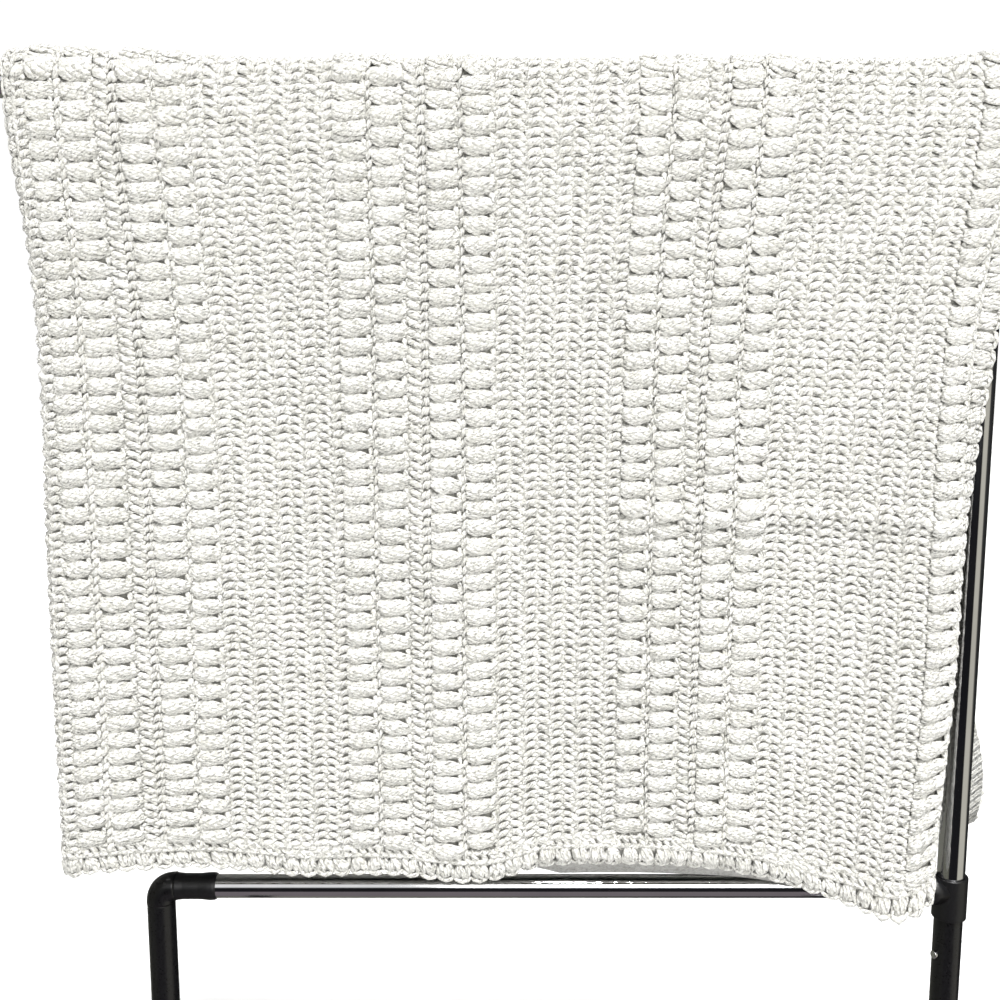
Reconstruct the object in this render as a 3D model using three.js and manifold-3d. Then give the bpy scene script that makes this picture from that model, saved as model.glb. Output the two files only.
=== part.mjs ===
// Crochet afghan hung over the top rail of a garment rack.
// Millimetres, +Z up, the floor at z = 0. The viewer stands on the -Y side and +X is to the right.
// The rack's two tall uprights are the same distance either side of x = 0.

import * as THREE from 'three';
import { mergeVertices } from 'three/addons/utils/BufferGeometryUtils.js';
import Module from 'manifold-3d';

const wasm = await Module();
wasm.setup();

// Clearances
const GAP = 0.3;

// Rack, driving dimensions
const UPRIGHT_X = 533.5;
const SHORT_LEG_X = -320.5;
const RAIL_Z = 1422;
const RAIL_R = 14;
const RAIL_HALF = 620;
const BAR_Z = 588;
const BAR_R = 12.5;
const UPRIGHT_R = 14.5;
const POST_R = 15;
const ROUND_SIDES = 24;

// Rack, joints between the tubes
const JOINT_TOP = 600;
const JOINT_BOTTOM = 554;
const JOINT_R = 18;
const JOINT_WEB_TOP = 584;
const JOINT_WEB_BOTTOM = 568;
const SIDE_SOCKET_R = 17;
const SIDE_SOCKET_REACH = 23;
const BAR_END_INSET = 17;
const NECK_R = 12;
const NECK_TOP_DROP = 36;
const COLLAR_DROP = 80;
const COLLAR_R = 17;
const COLLAR_DEPTH = 30;
const CAP_R = 16;
const CAP_LENGTH = 20;
const CAP_WALL = 6;
const BEND_R = 17;
const BEND_TUBE_R = 15.3;
const SLEEVE_LENGTH = 44;
const SLEEVE_NECK_R = 13.6;
const SLEEVE_LIP_R = 14.6;
const SCREW_Z = 512;
const SCREW_R = 4.4;
const SCREW_LENGTH = 4;

// Rack, feet
const FOOT_HALF = 212;
const FOOT_WIDTH = 34;
const FOOT_HEIGHT = 26;
const FOOT_LIFT = 3;
const FOOT_CORNER = 9;
const FOOT_CAP_WIDTH = 40;
const FOOT_CAP_HEIGHT = 33;
const FOOT_CAP_LENGTH = 24;
const FOOT_SOCKET_R = 20;
const FOOT_SOCKET_TOP = 78;
const FOOT_SOCKET_WALL = 4;

// Afghan, sizes across the width: u runs from the left side border to the right one
const BORDER = 28;
const PUFF = 31;
const CHAIN = 4;
const LADDER = 22;
const PLAIN_PARTS = [
  { rows: 9, row: 14.6 },
  { rows: 9, row: 14.6 },
  { rows: 12, row: 13.4 },
];
const PUFF_GROUP = 4 * PUFF + 2 * CHAIN + LADDER;

// Afghan, sizes along the length: v counts puffs from the front hem to the back hem
const FRONT_PUFFS = 44;
const RAIL_PUFFS = 3;
const BACK_PUFFS = 42;
const PUFF_PITCH = 18.62;
const HEM_PUFFS = BORDER / PUFF_PITCH;

// Afghan, thickness
const CLOTH = 6;
const PUFF_RISE = 4;
const BORDER_RISE = 1.4;
const PUFF_SHOULDER = 6;

// Columns of the left group, which the edge squeezes: start and width of each
const LEFT_COLUMNS = [[36, 24], [68, 27], [122, 26], [152, 31]];
const RAIL_SEGMENTS = 6;
const SEAT_R = (RAIL_R + GAP) / Math.cos(Math.PI / (2 * RAIL_SEGMENTS));
const MID_R = SEAT_R + CLOTH / 2;
const FLARE = 7;
const FLARE_DEPTH = 45;

// The cloth springs off the rail towards its side borders
const SPRING = { up: 9, leftSeat: 300, rightSeat: 850 };

// Where the lines of stitches hang: across is u, the next three are x at the rail, on the front and on the back,
// and settle is how far below the rail a line has drawn in
const FALL_LINES = [
  { across: 0, rail: -430, front: -416, back: -397, settle: 110 },
  { across: 28, rail: -414, front: -398, back: -370, settle: 160 },
  { across: 182, rail: -260, front: -240, back: -219, settle: 160 },
  { across: 313, rail: -115, front: -110, back: -92, settle: 160 },
  { across: 467, rail: 41, front: 42, back: 58, settle: 160 },
  { across: 598, rail: 181, front: 167, back: 186, settle: 160 },
  { across: 752, rail: 335, front: 311.5, back: 336, settle: 170 },
  { across: 913, rail: 510, front: 476, back: 493, settle: 220 },
  { across: 944, rail: 541, front: 503, back: 523, settle: 190 },
  { across: 972, rail: 567, front: 506, back: 549, settle: 330 },
];
const SPREAD_POWER = 1.5;
const BACK_CORNER = { z: 690, height: 90, out: 28, from: 850 };

// How high the two hems hang: the power keeps their unevenness near the bottom
const HEM_POWER = 2.5;
const FRONT_HEM = [
  { across: 0, z: 610 },
  { across: 55, z: 622 },
  { across: 145, z: 625 },
  { across: 190, z: 621 },
  { across: 262, z: 611 },
  { across: 359, z: 616 },
  { across: 453, z: 606 },
  { across: 524, z: 621 },
  { across: 650, z: 621 },
  { across: 745, z: 609 },
  { across: 850, z: 584 },
  { across: 905, z: 575 },
  { across: 940, z: 593 },
  { across: 972, z: 617 },
];
const BACK_HEM = [
  { across: 0, z: 618 },
  { across: 120, z: 607 },
  { across: 400, z: 613 },
  { across: 700, z: 624 },
  { across: 900, z: 630 },
  { across: 944, z: 632 },
  { across: 972, z: 646 },
];

// Soft folds that run down the cloth: depth is how far each swings out, and starts how far down it begins
const FRONT_FOLDS = [
  { across: 60, width: 60, depth: 4, starts: 60 },
  { across: 255, width: 62, depth: -5, starts: 120 },
  { across: 395, width: 66, depth: 5, starts: 90 },
  { across: 532, width: 60, depth: -5, starts: 160 },
  { across: 670, width: 62, depth: 5, starts: 120 },
  { across: 815, width: 50, depth: -2, starts: 200 },
  { across: 915, width: 64, depth: 17, starts: 40 },
];
const BACK_FOLDS = [
  { across: 110, width: 70, depth: 6, starts: 90 },
  { across: 300, width: 80, depth: -5, starts: 140 },
  { across: 500, width: 75, depth: 7, starts: 80 },
  { across: 700, width: 70, depth: -4, starts: 150 },
  { across: 880, width: 60, depth: 9, starts: 60 },
];
const FOLD_EASE = 260;

// Side borders turn back a little, and the front hem turns out
const LEFT_CURL = { from: 36, back: 19, starts: 20 };

// The left edge draws in a little below the rail, on the front
const LEFT_DRAW = { inward: 6, drop: 260, height: 190, to: 60 };
const RIGHT_CURL = { from: 936, back: 17, starts: 240 };
const CURL_EASE = 200;
const HEM_CURL_HEIGHT = 46;
const HEM_CURLS = [
  { across: 600, width: 95, out: 13 },
  { across: 925, width: 60, out: 10 },
];

// Old storage fold across the right of the front
const CREASE = { drop: 427, height: 15, from: 585, to: 950, out: 4.5, soft: 40 };

// Points of the cloth's grid
const FRONT_STEPS = [0, 0.75, HEM_PUFFS, 5, 10, 15.5, 20.3, 21.1, 21.9, 27, 32, 37.5, 41.3, 42.5, 43.4];
const BACK_STEPS = [0, 0.6, 1.5, 2.7, 7.5, 13.5, 20, 26, 32.5, 38, BACK_PUFFS - HEM_PUFFS, BACK_PUFFS];
const PLAIN_CUTS = 3;

const CREAM = 0xf3f1e6;
const BLACK = 0x141416;
const CHROME = 0xc9ccd0;

const cloth = new THREE.MeshStandardMaterial({ color: CREAM, roughness: 0.95, metalness: 0 });
const blackPlastic = new THREE.MeshStandardMaterial({ color: BLACK, roughness: 0.45, metalness: 0 });
const blackRubber = new THREE.MeshStandardMaterial({ color: BLACK, roughness: 0.8, metalness: 0 });
const blackPaint = new THREE.MeshStandardMaterial({ color: BLACK, roughness: 0.4, metalness: 0.2 });
const chrome = new THREE.MeshStandardMaterial({ color: CHROME, roughness: 0.1, metalness: 1 });

function smooth(t) {
  const c = Math.min(1, Math.max(0, t));
  return c * c * (3 - 2 * c);
}

// Reads a column of a table at u, with a smooth curve through its rows
function along(table, column, u) {
  let i = 0;
  while (i < table.length - 2 && u > table[i + 1].across) {
    i += 1;
  }
  const at = (k) => table[Math.min(table.length - 1, Math.max(0, k))];
  const a = at(i);
  const b = at(i + 1);
  const width = b.across - a.across;
  const slope = (k) => {
    const before = at(k - 1);
    const after = at(k + 1);
    return (after[column] - before[column]) / (after.across - before.across);
  };
  const t = (u - a.across) / width;
  const h = 1 - t;
  const rise = b[column] - a[column];
  return (
    a[column] + rise * t * t * (3 - 2 * t) +
    width * t * h * (slope(i) * h - slope(i + 1) * t)
  );
}

function bump(x, centre, width) {
  return Math.exp(-(((x - centre) / width) ** 2));
}

// How far the cloth stands off the rail
function spring(u) {
  const left = 1 - smooth(u / SPRING.leftSeat);
  const right = smooth((u - SPRING.rightSeat) / (WIDTH - SPRING.rightSeat));
  return SPRING.up * (left + right);
}

// Middle of the cloth on a hanging side: side is -1 on the front and +1 on the back
function hanging(u, puffs, side) {
  const front = side < 0;
  const whole = PUFF_PITCH * (front ? FRONT_PUFFS : BACK_PUFFS);
  const drop = PUFF_PITCH * puffs;
  const hem = along(front ? FRONT_HEM : BACK_HEM, 'z', u);
  const share = drop / whole;
  const z = RAIL_Z - drop * (1 + ((RAIL_Z - hem) / whole - 1) * share ** HEM_POWER);
  const spread = Math.exp(-((drop / along(FALL_LINES, 'settle', u)) ** SPREAD_POWER));
  const low = along(FALL_LINES, front ? 'front' : 'back', u);
  let x = low + (along(FALL_LINES, 'rail', u) - low) * spread;
  let out = MID_R + spring(u) + FLARE * smooth(drop / FLARE_DEPTH);
  for (const f of front ? FRONT_FOLDS : BACK_FOLDS) {
    out += f.depth * bump(u, f.across, f.width) * smooth((drop - f.starts) / FOLD_EASE);
  }
  const curl = (c) => c.back * smooth((drop - c.starts) / CURL_EASE);
  out -= curl(LEFT_CURL) * Math.max(0, 1 - u / LEFT_CURL.from) ** 2;
  if (front) {
    x += LEFT_DRAW.inward * bump(drop, LEFT_DRAW.drop, LEFT_DRAW.height) * (1 - smooth(u / LEFT_DRAW.to));
    out -= curl(RIGHT_CURL) * Math.max(0, (u - RIGHT_CURL.from) / (WIDTH - RIGHT_CURL.from)) ** 1.5;
    const above = Math.max(0, 1 - (z - hem) / HEM_CURL_HEIGHT);
    for (const c of HEM_CURLS) {
      out += c.out * bump(u, c.across, c.width) * above * above;
    }
    const reach = smooth((u - CREASE.from) / CREASE.soft) * smooth((CREASE.to - u) / CREASE.soft);
    out += CREASE.out * bump(drop, CREASE.drop, CREASE.height) * reach;
  } else {
    const corner = bump(z, BACK_CORNER.z, BACK_CORNER.height);
    x += BACK_CORNER.out * corner * smooth((u - BACK_CORNER.from) / (WIDTH - BACK_CORNER.from));
  }
  return new THREE.Vector3(x, side * out, z);
}

// Middle of the cloth anywhere: v counts puffs from the front hem
function middle(u, v) {
  if (v <= FRONT_PUFFS) {
    return hanging(u, FRONT_PUFFS - v, -1);
  }
  if (v >= FRONT_PUFFS + RAIL_PUFFS) {
    return hanging(u, v - FRONT_PUFFS - RAIL_PUFFS, 1);
  }
  const turn = (Math.PI * (v - FRONT_PUFFS)) / RAIL_PUFFS;
  const x = along(FALL_LINES, 'rail', u);
  const r = MID_R + spring(u);
  return new THREE.Vector3(x, -r * Math.cos(turn), RAIL_Z + r * Math.sin(turn));
}

// Direction out of the cloth's right side
function outward(u, v) {
  const step = 0.02;
  const length = FRONT_PUFFS + RAIL_PUFFS + BACK_PUFFS;
  const acrossStep = 1;
  const left = middle(Math.max(0, u - acrossStep), v);
  const right = middle(Math.min(WIDTH, u + acrossStep), v);
  const before = middle(u, Math.max(0, v - step));
  const after = middle(u, Math.min(length, v + step));
  return right.sub(left).cross(after.sub(before)).normalize();
}

// Start and end of each puff column across the width
function puffColumns() {
  const starts = [];
  let u = BORDER;
  for (const plain of PLAIN_PARTS) {
    starts.push(u, u + PUFF + CHAIN, u + 2 * PUFF + CHAIN + LADDER, u + 3 * PUFF + 2 * CHAIN + LADDER);
    u += PUFF_GROUP + plain.rows * plain.row;
  }
  starts.push(u);
  const columns = starts.map((start) => [start, start + PUFF]);
  LEFT_COLUMNS.forEach(([start, width], i) => {
    columns[i] = [start, start + width];
  });
  return columns;
}

const PUFF_COLUMNS = puffColumns();
const WIDTH = PUFF_COLUMNS[PUFF_COLUMNS.length - 1][1] + BORDER;

// Lines of points across the width: the foot and the shoulder of each puff column, and cuts in the plain parts
function linesAcross() {
  const lines = [0, BORDER / 2];
  PUFF_COLUMNS.forEach(([start, end], i) => {
    lines.push(start, start + PUFF_SHOULDER, end - PUFF_SHOULDER, end);
    if (i % 4 === 3) {
      const [next] = PUFF_COLUMNS[i + 1];
      for (let k = 1; k < PLAIN_CUTS; k += 1) {
        lines.push(end + ((next - end) * k) / PLAIN_CUTS);
      }
    }
  });
  lines.push(WIDTH - BORDER / 2, WIDTH);
  return lines;
}

// Height of the right side above the plain cloth: puff columns between the hems, and the border all round
function rise(u, v) {
  const length = FRONT_PUFFS + RAIL_PUFFS + BACK_PUFFS;
  const inHem = v <= HEM_PUFFS || v >= length - HEM_PUFFS;
  if (inHem || u < BORDER || u > WIDTH - BORDER) {
    return BORDER_RISE;
  }
  const edge = PUFF_SHOULDER * 0.9;
  const raised = PUFF_COLUMNS.some(([start, end]) => u > start + edge && u < end - edge);
  return raised ? PUFF_RISE : 0;
}

// One closed solid: the right side, the wrong side and the four edges between them
function afghanGeometry() {
  const us = linesAcross();
  const vs = [...FRONT_STEPS];
  for (let k = 0; k < RAIL_SEGMENTS; k += 1) {
    vs.push(FRONT_PUFFS + (RAIL_PUFFS * k) / RAIL_SEGMENTS);
  }
  for (const s of BACK_STEPS) {
    vs.push(FRONT_PUFFS + RAIL_PUFFS + s);
  }
  const positions = [];
  for (const side of [1, -1]) {
    for (const v of vs) {
      for (const u of us) {
        const lift = side > 0 ? CLOTH / 2 + rise(u, v) : -CLOTH / 2;
        positions.push(...middle(u, v).addScaledVector(outward(u, v), lift).toArray());
      }
    }
  }
  const across = us.length;
  const layer = across * vs.length;
  const indices = [];
  const quad = (a, b, c, d) => indices.push(a, b, c, a, c, d);
  for (let j = 0; j < vs.length - 1; j += 1) {
    for (let i = 0; i < across - 1; i += 1) {
      const a = j * across + i;
      quad(a, a + 1, a + across + 1, a + across);
      quad(layer + a, layer + a + across, layer + a + across + 1, layer + a + 1);
    }
    const left = j * across;
    const right = left + across - 1;
    quad(left, left + across, layer + left + across, layer + left);
    quad(right, layer + right, layer + right + across, right + across);
  }
  for (let i = 0; i < across - 1; i += 1) {
    const last = (vs.length - 1) * across + i;
    quad(i, layer + i, layer + i + 1, i + 1);
    quad(last, last + 1, layer + last + 1, layer + last);
  }
  const geometry = new THREE.BufferGeometry();
  geometry.setAttribute('position', new THREE.Float32BufferAttribute(positions, 3));
  geometry.setIndex(indices);
  return geometry;
}

// Upright round bar from one height to another
function uprightBar(radius, bottom, top, x, y = 0) {
  const geometry = new THREE.CylinderGeometry(radius, radius, top - bottom, ROUND_SIDES);
  geometry.rotateX(Math.PI / 2);
  geometry.translate(x, y, (top + bottom) / 2);
  return geometry;
}

// Level round bar along X
function levelBar(radius, from, to, z) {
  const geometry = new THREE.CylinderGeometry(radius, radius, to - from, ROUND_SIDES);
  geometry.rotateZ(Math.PI / 2);
  geometry.rotateX(Math.PI / 2);
  geometry.translate((from + to) / 2, 0, z);
  return geometry;
}

function toSolid(geometry) {
  const bare = geometry.clone();
  bare.deleteAttribute('normal');
  bare.deleteAttribute('uv');
  const merged = mergeVertices(bare, 1e-4);
  return new wasm.Manifold(new wasm.Mesh({
    numProp: 3,
    vertProperties: new Float32Array(merged.attributes.position.array),
    triVerts: new Uint32Array(merged.index.array),
  }));
}

function toGeometry(solid) {
  const mesh = solid.getMesh();
  const geometry = new THREE.BufferGeometry();
  geometry.setAttribute('position', new THREE.Float32BufferAttribute(mesh.vertProperties, 3));
  geometry.setIndex(new THREE.Uint32BufferAttribute(mesh.triVerts, 1));
  return geometry;
}

function joined(shapes, cuts) {
  let solid = toSolid(shapes[0]);
  for (const shape of shapes.slice(1)) {
    solid = solid.add(toSolid(shape));
  }
  for (const cut of cuts) {
    solid = solid.subtract(toSolid(cut));
  }
  return toGeometry(solid);
}

// Joint between a black post and the chrome upright above it, with a side socket for the lower bar if it has one
function postJoint(x, hasSocket) {
  const shapes = [uprightBar(JOINT_R, JOINT_BOTTOM, JOINT_TOP, x)];
  const cuts = [
    uprightBar(UPRIGHT_R + GAP, JOINT_WEB_TOP - GAP, JOINT_TOP + SIDE_SOCKET_R, x),
    uprightBar(POST_R + GAP, JOINT_BOTTOM - 1, JOINT_WEB_BOTTOM + GAP, x),
  ];
  if (hasSocket) {
    shapes.push(levelBar(SIDE_SOCKET_R, x - SIDE_SOCKET_REACH, x, BAR_Z - 3));
    cuts.push(levelBar(BAR_R + GAP, x - SIDE_SOCKET_REACH - 1, x - BAR_END_INSET + GAP, BAR_Z));
  }
  return joined(shapes, cuts);
}

// Joint under the rail: a collar over the upright's top and a neck that is hollowed to the rail
function railJoint(x) {
  const collarTop = RAIL_Z - NECK_TOP_DROP;
  const collarBottom = RAIL_Z - COLLAR_DROP;
  return joined(
    [uprightBar(COLLAR_R, collarBottom, collarTop, x), uprightBar(NECK_R, collarTop - 1, RAIL_Z, x)],
    [
      levelBar(RAIL_R + GAP, x - 2 * COLLAR_R, x + 2 * COLLAR_R, RAIL_Z),
      uprightBar(UPRIGHT_R + GAP, collarBottom - 1, collarBottom + COLLAR_DEPTH + GAP, x),
    ],
  );
}

// Cap over an end of the rail: side is -1 on the left and +1 on the right
function railCap(side) {
  const inner = side * (RAIL_HALF - CAP_LENGTH + CAP_WALL);
  const outer = side * (RAIL_HALF + CAP_WALL);
  const cap = levelBar(CAP_R, Math.min(inner, outer), Math.max(inner, outer), RAIL_Z);
  const from = side > 0 ? inner - 1 : -RAIL_HALF - GAP;
  const to = side > 0 ? RAIL_HALF + GAP : inner + 1;
  return joined([cap], [levelBar(RAIL_R + GAP, from, to, RAIL_Z)]);
}

// Bent top of the short leg, from upright to level
function bend() {
  const path = new THREE.CurvePath();
  const x = SHORT_LEG_X;
  const corner = new THREE.Vector3(x, 0, BAR_Z);
  const start = new THREE.Vector3(x, 0, BAR_Z - BEND_R);
  const end = new THREE.Vector3(x + BEND_R, 0, BAR_Z);
  path.add(new THREE.QuadraticBezierCurve3(start, corner, end));
  const ring = new THREE.Shape();
  ring.absarc(0, 0, BEND_TUBE_R, 0, 2 * Math.PI);
  return new THREE.ExtrudeGeometry(ring, { extrudePath: path, steps: 6, curveSegments: 12 });
}

// Sleeve between the bend and the lower bar, necked in the middle, with a socket for the bar
function barSleeve() {
  const socket = SLEEVE_LENGTH * 0.6;
  const profile = [
    [0, 0],
    [SLEEVE_LIP_R, 0],
    [SLEEVE_NECK_R, 9],
    [SLEEVE_NECK_R, 26],
    [SLEEVE_LIP_R, 36],
    [SLEEVE_LIP_R, 41],
    [SLEEVE_NECK_R, SLEEVE_LENGTH],
    [BAR_R + GAP, SLEEVE_LENGTH],
    [BAR_R + GAP, SLEEVE_LENGTH - socket],
    [0, SLEEVE_LENGTH - socket],
  ].map(([r, h]) => new THREE.Vector2(r, h));
  const geometry = new THREE.LatheGeometry(profile, ROUND_SIDES);
  geometry.rotateZ(-Math.PI / 2);
  geometry.translate(SHORT_LEG_X + BEND_R + GAP, 0, BAR_Z);
  return geometry;
}

// Section of a foot bar: flat below, with rounded upper corners
function footBar(x) {
  const w = FOOT_WIDTH / 2;
  const section = new THREE.Shape();
  section.moveTo(-w, 0);
  section.lineTo(w, 0);
  section.lineTo(w, FOOT_HEIGHT - FOOT_CORNER);
  section.absarc(w - FOOT_CORNER, FOOT_HEIGHT - FOOT_CORNER, FOOT_CORNER, 0, Math.PI / 2);
  section.absarc(FOOT_CORNER - w, FOOT_HEIGHT - FOOT_CORNER, FOOT_CORNER, Math.PI / 2, Math.PI);
  section.closePath();
  const geometry = new THREE.ExtrudeGeometry(section, {
    depth: 2 * FOOT_HALF, bevelEnabled: false, curveSegments: 5,
  });
  geometry.rotateX(Math.PI / 2);
  geometry.translate(x, FOOT_HALF, FOOT_LIFT);
  return geometry;
}

// Rubber cap past an end of a foot bar, which stands on the floor: end is -1 in front and +1 behind
function footCap(x, end) {
  const w = FOOT_CAP_WIDTH / 2;
  const r = FOOT_CORNER + 3;
  const section = new THREE.Shape();
  section.moveTo(-w, 0);
  section.lineTo(w, 0);
  section.lineTo(w, FOOT_CAP_HEIGHT - r);
  section.absarc(w - r, FOOT_CAP_HEIGHT - r, r, 0, Math.PI / 2);
  section.absarc(r - w, FOOT_CAP_HEIGHT - r, r, Math.PI / 2, Math.PI);
  section.closePath();
  const geometry = new THREE.ExtrudeGeometry(section, {
    depth: FOOT_CAP_LENGTH, bevelEnabled: false, curveSegments: 5,
  });
  geometry.rotateX(Math.PI / 2);
  const near = FOOT_HALF + GAP;
  geometry.translate(x, end > 0 ? near + FOOT_CAP_LENGTH : -near, 0);
  return geometry;
}

// Socket on a foot bar that holds a post
function footSocket(x) {
  const bottom = FOOT_LIFT + FOOT_HEIGHT + GAP;
  const floor = bottom + FOOT_SOCKET_WALL;
  return joined(
    [uprightBar(FOOT_SOCKET_R, bottom, FOOT_SOCKET_TOP, x)],
    [uprightBar(POST_R + GAP, floor, FOOT_SOCKET_TOP + 1, x)],
  );
}

const POST_BOTTOM = FOOT_LIFT + FOOT_HEIGHT + 2 * GAP + FOOT_SOCKET_WALL;

// Screw that locks a post, on its left and a little towards the viewer
function postScrew(x) {
  const geometry = new THREE.CylinderGeometry(SCREW_R, SCREW_R, SCREW_LENGTH, 16);
  geometry.rotateZ(Math.PI / 2);
  geometry.translate(-(POST_R + GAP + SCREW_LENGTH / 2), 0, 0);
  geometry.rotateZ(Math.PI / 8);
  geometry.translate(x, 0, SCREW_Z);
  return geometry;
}

const part = new THREE.Group();

function place(name, geometry, material) {
  const mesh = new THREE.Mesh(geometry, material);
  mesh.name = name;
  part.add(mesh);
}

place('afghan', afghanGeometry(), cloth);
place('top_rail', levelBar(RAIL_R, -RAIL_HALF, RAIL_HALF, RAIL_Z), chrome);

for (const [side, sign] of [['left', -1], ['right', 1]]) {
  const x = sign * UPRIGHT_X;
  place(`rail_cap_${side}`, railCap(sign), blackPlastic);
  place(`rail_joint_${side}`, railJoint(x), blackPlastic);
  const top = RAIL_Z - COLLAR_DROP + COLLAR_DEPTH;
  place(`upright_${side}`, uprightBar(UPRIGHT_R, JOINT_WEB_TOP, top, x), chrome);
  place(`post_joint_${side}`, postJoint(x, sign > 0), blackPlastic);
  place(`post_${side}`, uprightBar(POST_R, POST_BOTTOM, JOINT_WEB_BOTTOM, x), blackPaint);
  place(`post_screw_${side}`, postScrew(x), chrome);
}

place('short_leg', uprightBar(POST_R, POST_BOTTOM, BAR_Z - BEND_R - GAP, SHORT_LEG_X), blackPaint);
place('short_leg_bend', bend(), blackPaint);
place('bar_sleeve', barSleeve(), blackPlastic);
const barStart = SHORT_LEG_X + BEND_R + 2 * GAP + SLEEVE_LENGTH * 0.4;
place('lower_bar', levelBar(BAR_R, barStart, UPRIGHT_X - BAR_END_INSET, BAR_Z), chrome);

for (const [name, x] of [['left', -UPRIGHT_X], ['short', SHORT_LEG_X], ['right', UPRIGHT_X]]) {
  place(`foot_${name}`, footBar(x), blackPaint);
  place(`foot_socket_${name}`, footSocket(x), blackPlastic);
  place(`foot_cap_${name}_front`, footCap(x, -1), blackRubber);
  place(`foot_cap_${name}_back`, footCap(x, 1), blackRubber);
}

export default part;
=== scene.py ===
"""Crochet afghan hung double over the rail of a garment rack.

The cloth is worked out in its own flat coordinates and then laid on the drape: u runs across it from the
left border to the right one, w runs along it from the front hem over the rail to the back hem, and h stands
out of its right side. All three are in millimetres, as every size here is, and MM turns them into metres.
"""

import math

import bpy
import numpy as np
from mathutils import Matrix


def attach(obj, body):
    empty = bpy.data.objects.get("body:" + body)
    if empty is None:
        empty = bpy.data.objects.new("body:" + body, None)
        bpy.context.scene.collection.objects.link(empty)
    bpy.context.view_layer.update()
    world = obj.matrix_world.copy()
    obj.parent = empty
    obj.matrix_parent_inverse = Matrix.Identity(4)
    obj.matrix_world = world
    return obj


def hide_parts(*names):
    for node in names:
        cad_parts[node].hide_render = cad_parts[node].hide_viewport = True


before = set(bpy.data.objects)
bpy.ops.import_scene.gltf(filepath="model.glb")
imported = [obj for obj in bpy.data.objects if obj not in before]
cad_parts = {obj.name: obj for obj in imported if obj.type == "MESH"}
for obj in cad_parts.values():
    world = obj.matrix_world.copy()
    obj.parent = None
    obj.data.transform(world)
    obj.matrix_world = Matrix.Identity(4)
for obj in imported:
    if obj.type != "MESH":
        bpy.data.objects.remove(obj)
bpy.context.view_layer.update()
MM = 0.001

# Afghan, sizes across the width
BORDER = 28.0
PUFF = 31.0
CHAIN = 4.0
LADDER = 22.0
PUFF_GROUP = 4 * PUFF + 2 * CHAIN + LADDER
PLAIN_ROW = 14.6
PLAIN_PARTS = ((9, PLAIN_ROW), (9, PLAIN_ROW), (12, 13.4))

# Columns of the left group, which the edge squeezes: start and width of each
LEFT_COLUMNS = ((36, 28.5), (70, 31), (124, 31.5), (157.5, 29))

# Afghan, sizes along the length
FRONT_PUFFS = 44
RAIL_PUFFS = 3
BACK_PUFFS = 42
PITCH = 18.62
STITCH = PITCH / 2
LENGTH = PITCH * (FRONT_PUFFS + RAIL_PUFFS + BACK_PUFFS)
RAIL_FROM = PITCH * FRONT_PUFFS
RAIL_TO = PITCH * (FRONT_PUFFS + RAIL_PUFFS)

# Stitches run from LOW to HIGH and are worked coarser from BACK_FROM on, where the photo doesn't look
LOW = BORDER - 2.0
HIGH = LENGTH - BORDER + 2.0
BACK_FROM = RAIL_TO + 2 * PITCH

# Where the cloth hangs, near its solid: the hem, the left curl and the crease are a few millimetres off it,
# and the right edge's draw, the hem's roll and the band under it are here alone, to follow the photo
RAIL_Z = 1422.0
SEAT_R = 14.3 / math.cos(math.pi / 12)
MID_R = SEAT_R + 3.0
FLARE = 7.0
FLARE_DEPTH = 45.0
SPRING = {"up": 9, "left_seat": 300, "right_seat": 850}
FALL_LINES = {
    "across": (0, 28, 182, 313, 467, 598, 752, 913, 944, 972),
    "rail": (-430, -414, -260, -115, 41, 181, 335, 510, 541, 567),
    "front": (-416, -398, -240, -110, 42, 167, 311.5, 476, 503, 506),
    "back": (-397, -370, -219, -92, 58, 186, 336, 493, 523, 549),
    "settle": (110, 160, 160, 160, 160, 160, 170, 220, 190, 330),
}
SPREAD_POWER = 1.5
BACK_CORNER = {"z": 690, "height": 90, "out": 28, "from": 850}
HEM_POWER = 2.5
FRONT_HEM = {
    "across": (0, 55, 145, 190, 262, 359, 453, 524, 650, 745, 850, 905, 940, 972),
    "z": (610, 622, 625, 621, 611, 616, 606, 622, 627, 614, 584, 575, 593, 617),
}
BACK_HEM = {
    "across": (0, 120, 400, 700, 900, 944, 972),
    "z": (618, 607, 613, 624, 630, 632, 646),
}

# Soft folds that run down the cloth: across, width, depth, and how far below the rail each starts
FRONT_FOLDS = (
    (60, 60, 4, 60), (255, 62, -5, 120), (395, 66, 5, 90), (532, 60, -5, 160),
    (670, 62, 5, 120), (815, 50, -2, 200), (915, 64, 17, 40),
)
BACK_FOLDS = (
    (110, 70, 6, 90), (300, 80, -5, 140), (500, 75, 7, 80), (700, 70, -4, 150), (880, 60, 9, 60),
)
FOLD_EASE = 260.0
LEFT_CURL = {"from": 36, "back": 25, "starts": 20}
RIGHT_CURL = {"from": 936, "back": 17, "starts": 240}
CURL_EASE = 200.0
ROLL_POWER = 1.5
LEFT_DRAW = {"inward": 6, "drop": 260, "height": 190, "to": 60}
RIGHT_DRAW = {"drop": (0, 120, 240, 435, 560, 620, 740, 860), "inward": (0, 1, 8, 4, 1, 2.5, 9, 12)}
RIGHT_DRAW_FROM = 840
RIGHT_DRAW_EASE = 80
HEM_ROLL = {"across": 628, "width": 105, "height": 15, "back": 15}
HEM_UNDER = {"from": 495, "rise": 50, "to": 850, "fall": 190, "reach": 21, "back": 0.5}
HEM_CURL_HEIGHT = 46.0
HEM_CURLS = ((600, 95, 13), (925, 60, 10))
CREASE = {"drop": 421, "height": 12, "from": 585, "to": 950, "out": 5.0, "soft": 40}

# Cloth under the stitches: its right and wrong sides, how far it stays inside the worked edge, and its grid
BASE_OUT = 0.0
BASE_IN = -2.8
BASE_INSET = 3.0
BASE_CELL = 15.0

# Half of the step over which the cloth's slope is measured, across and along
SLOPE_ACROSS = 1.0
SLOPE_ALONG = 0.4

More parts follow.
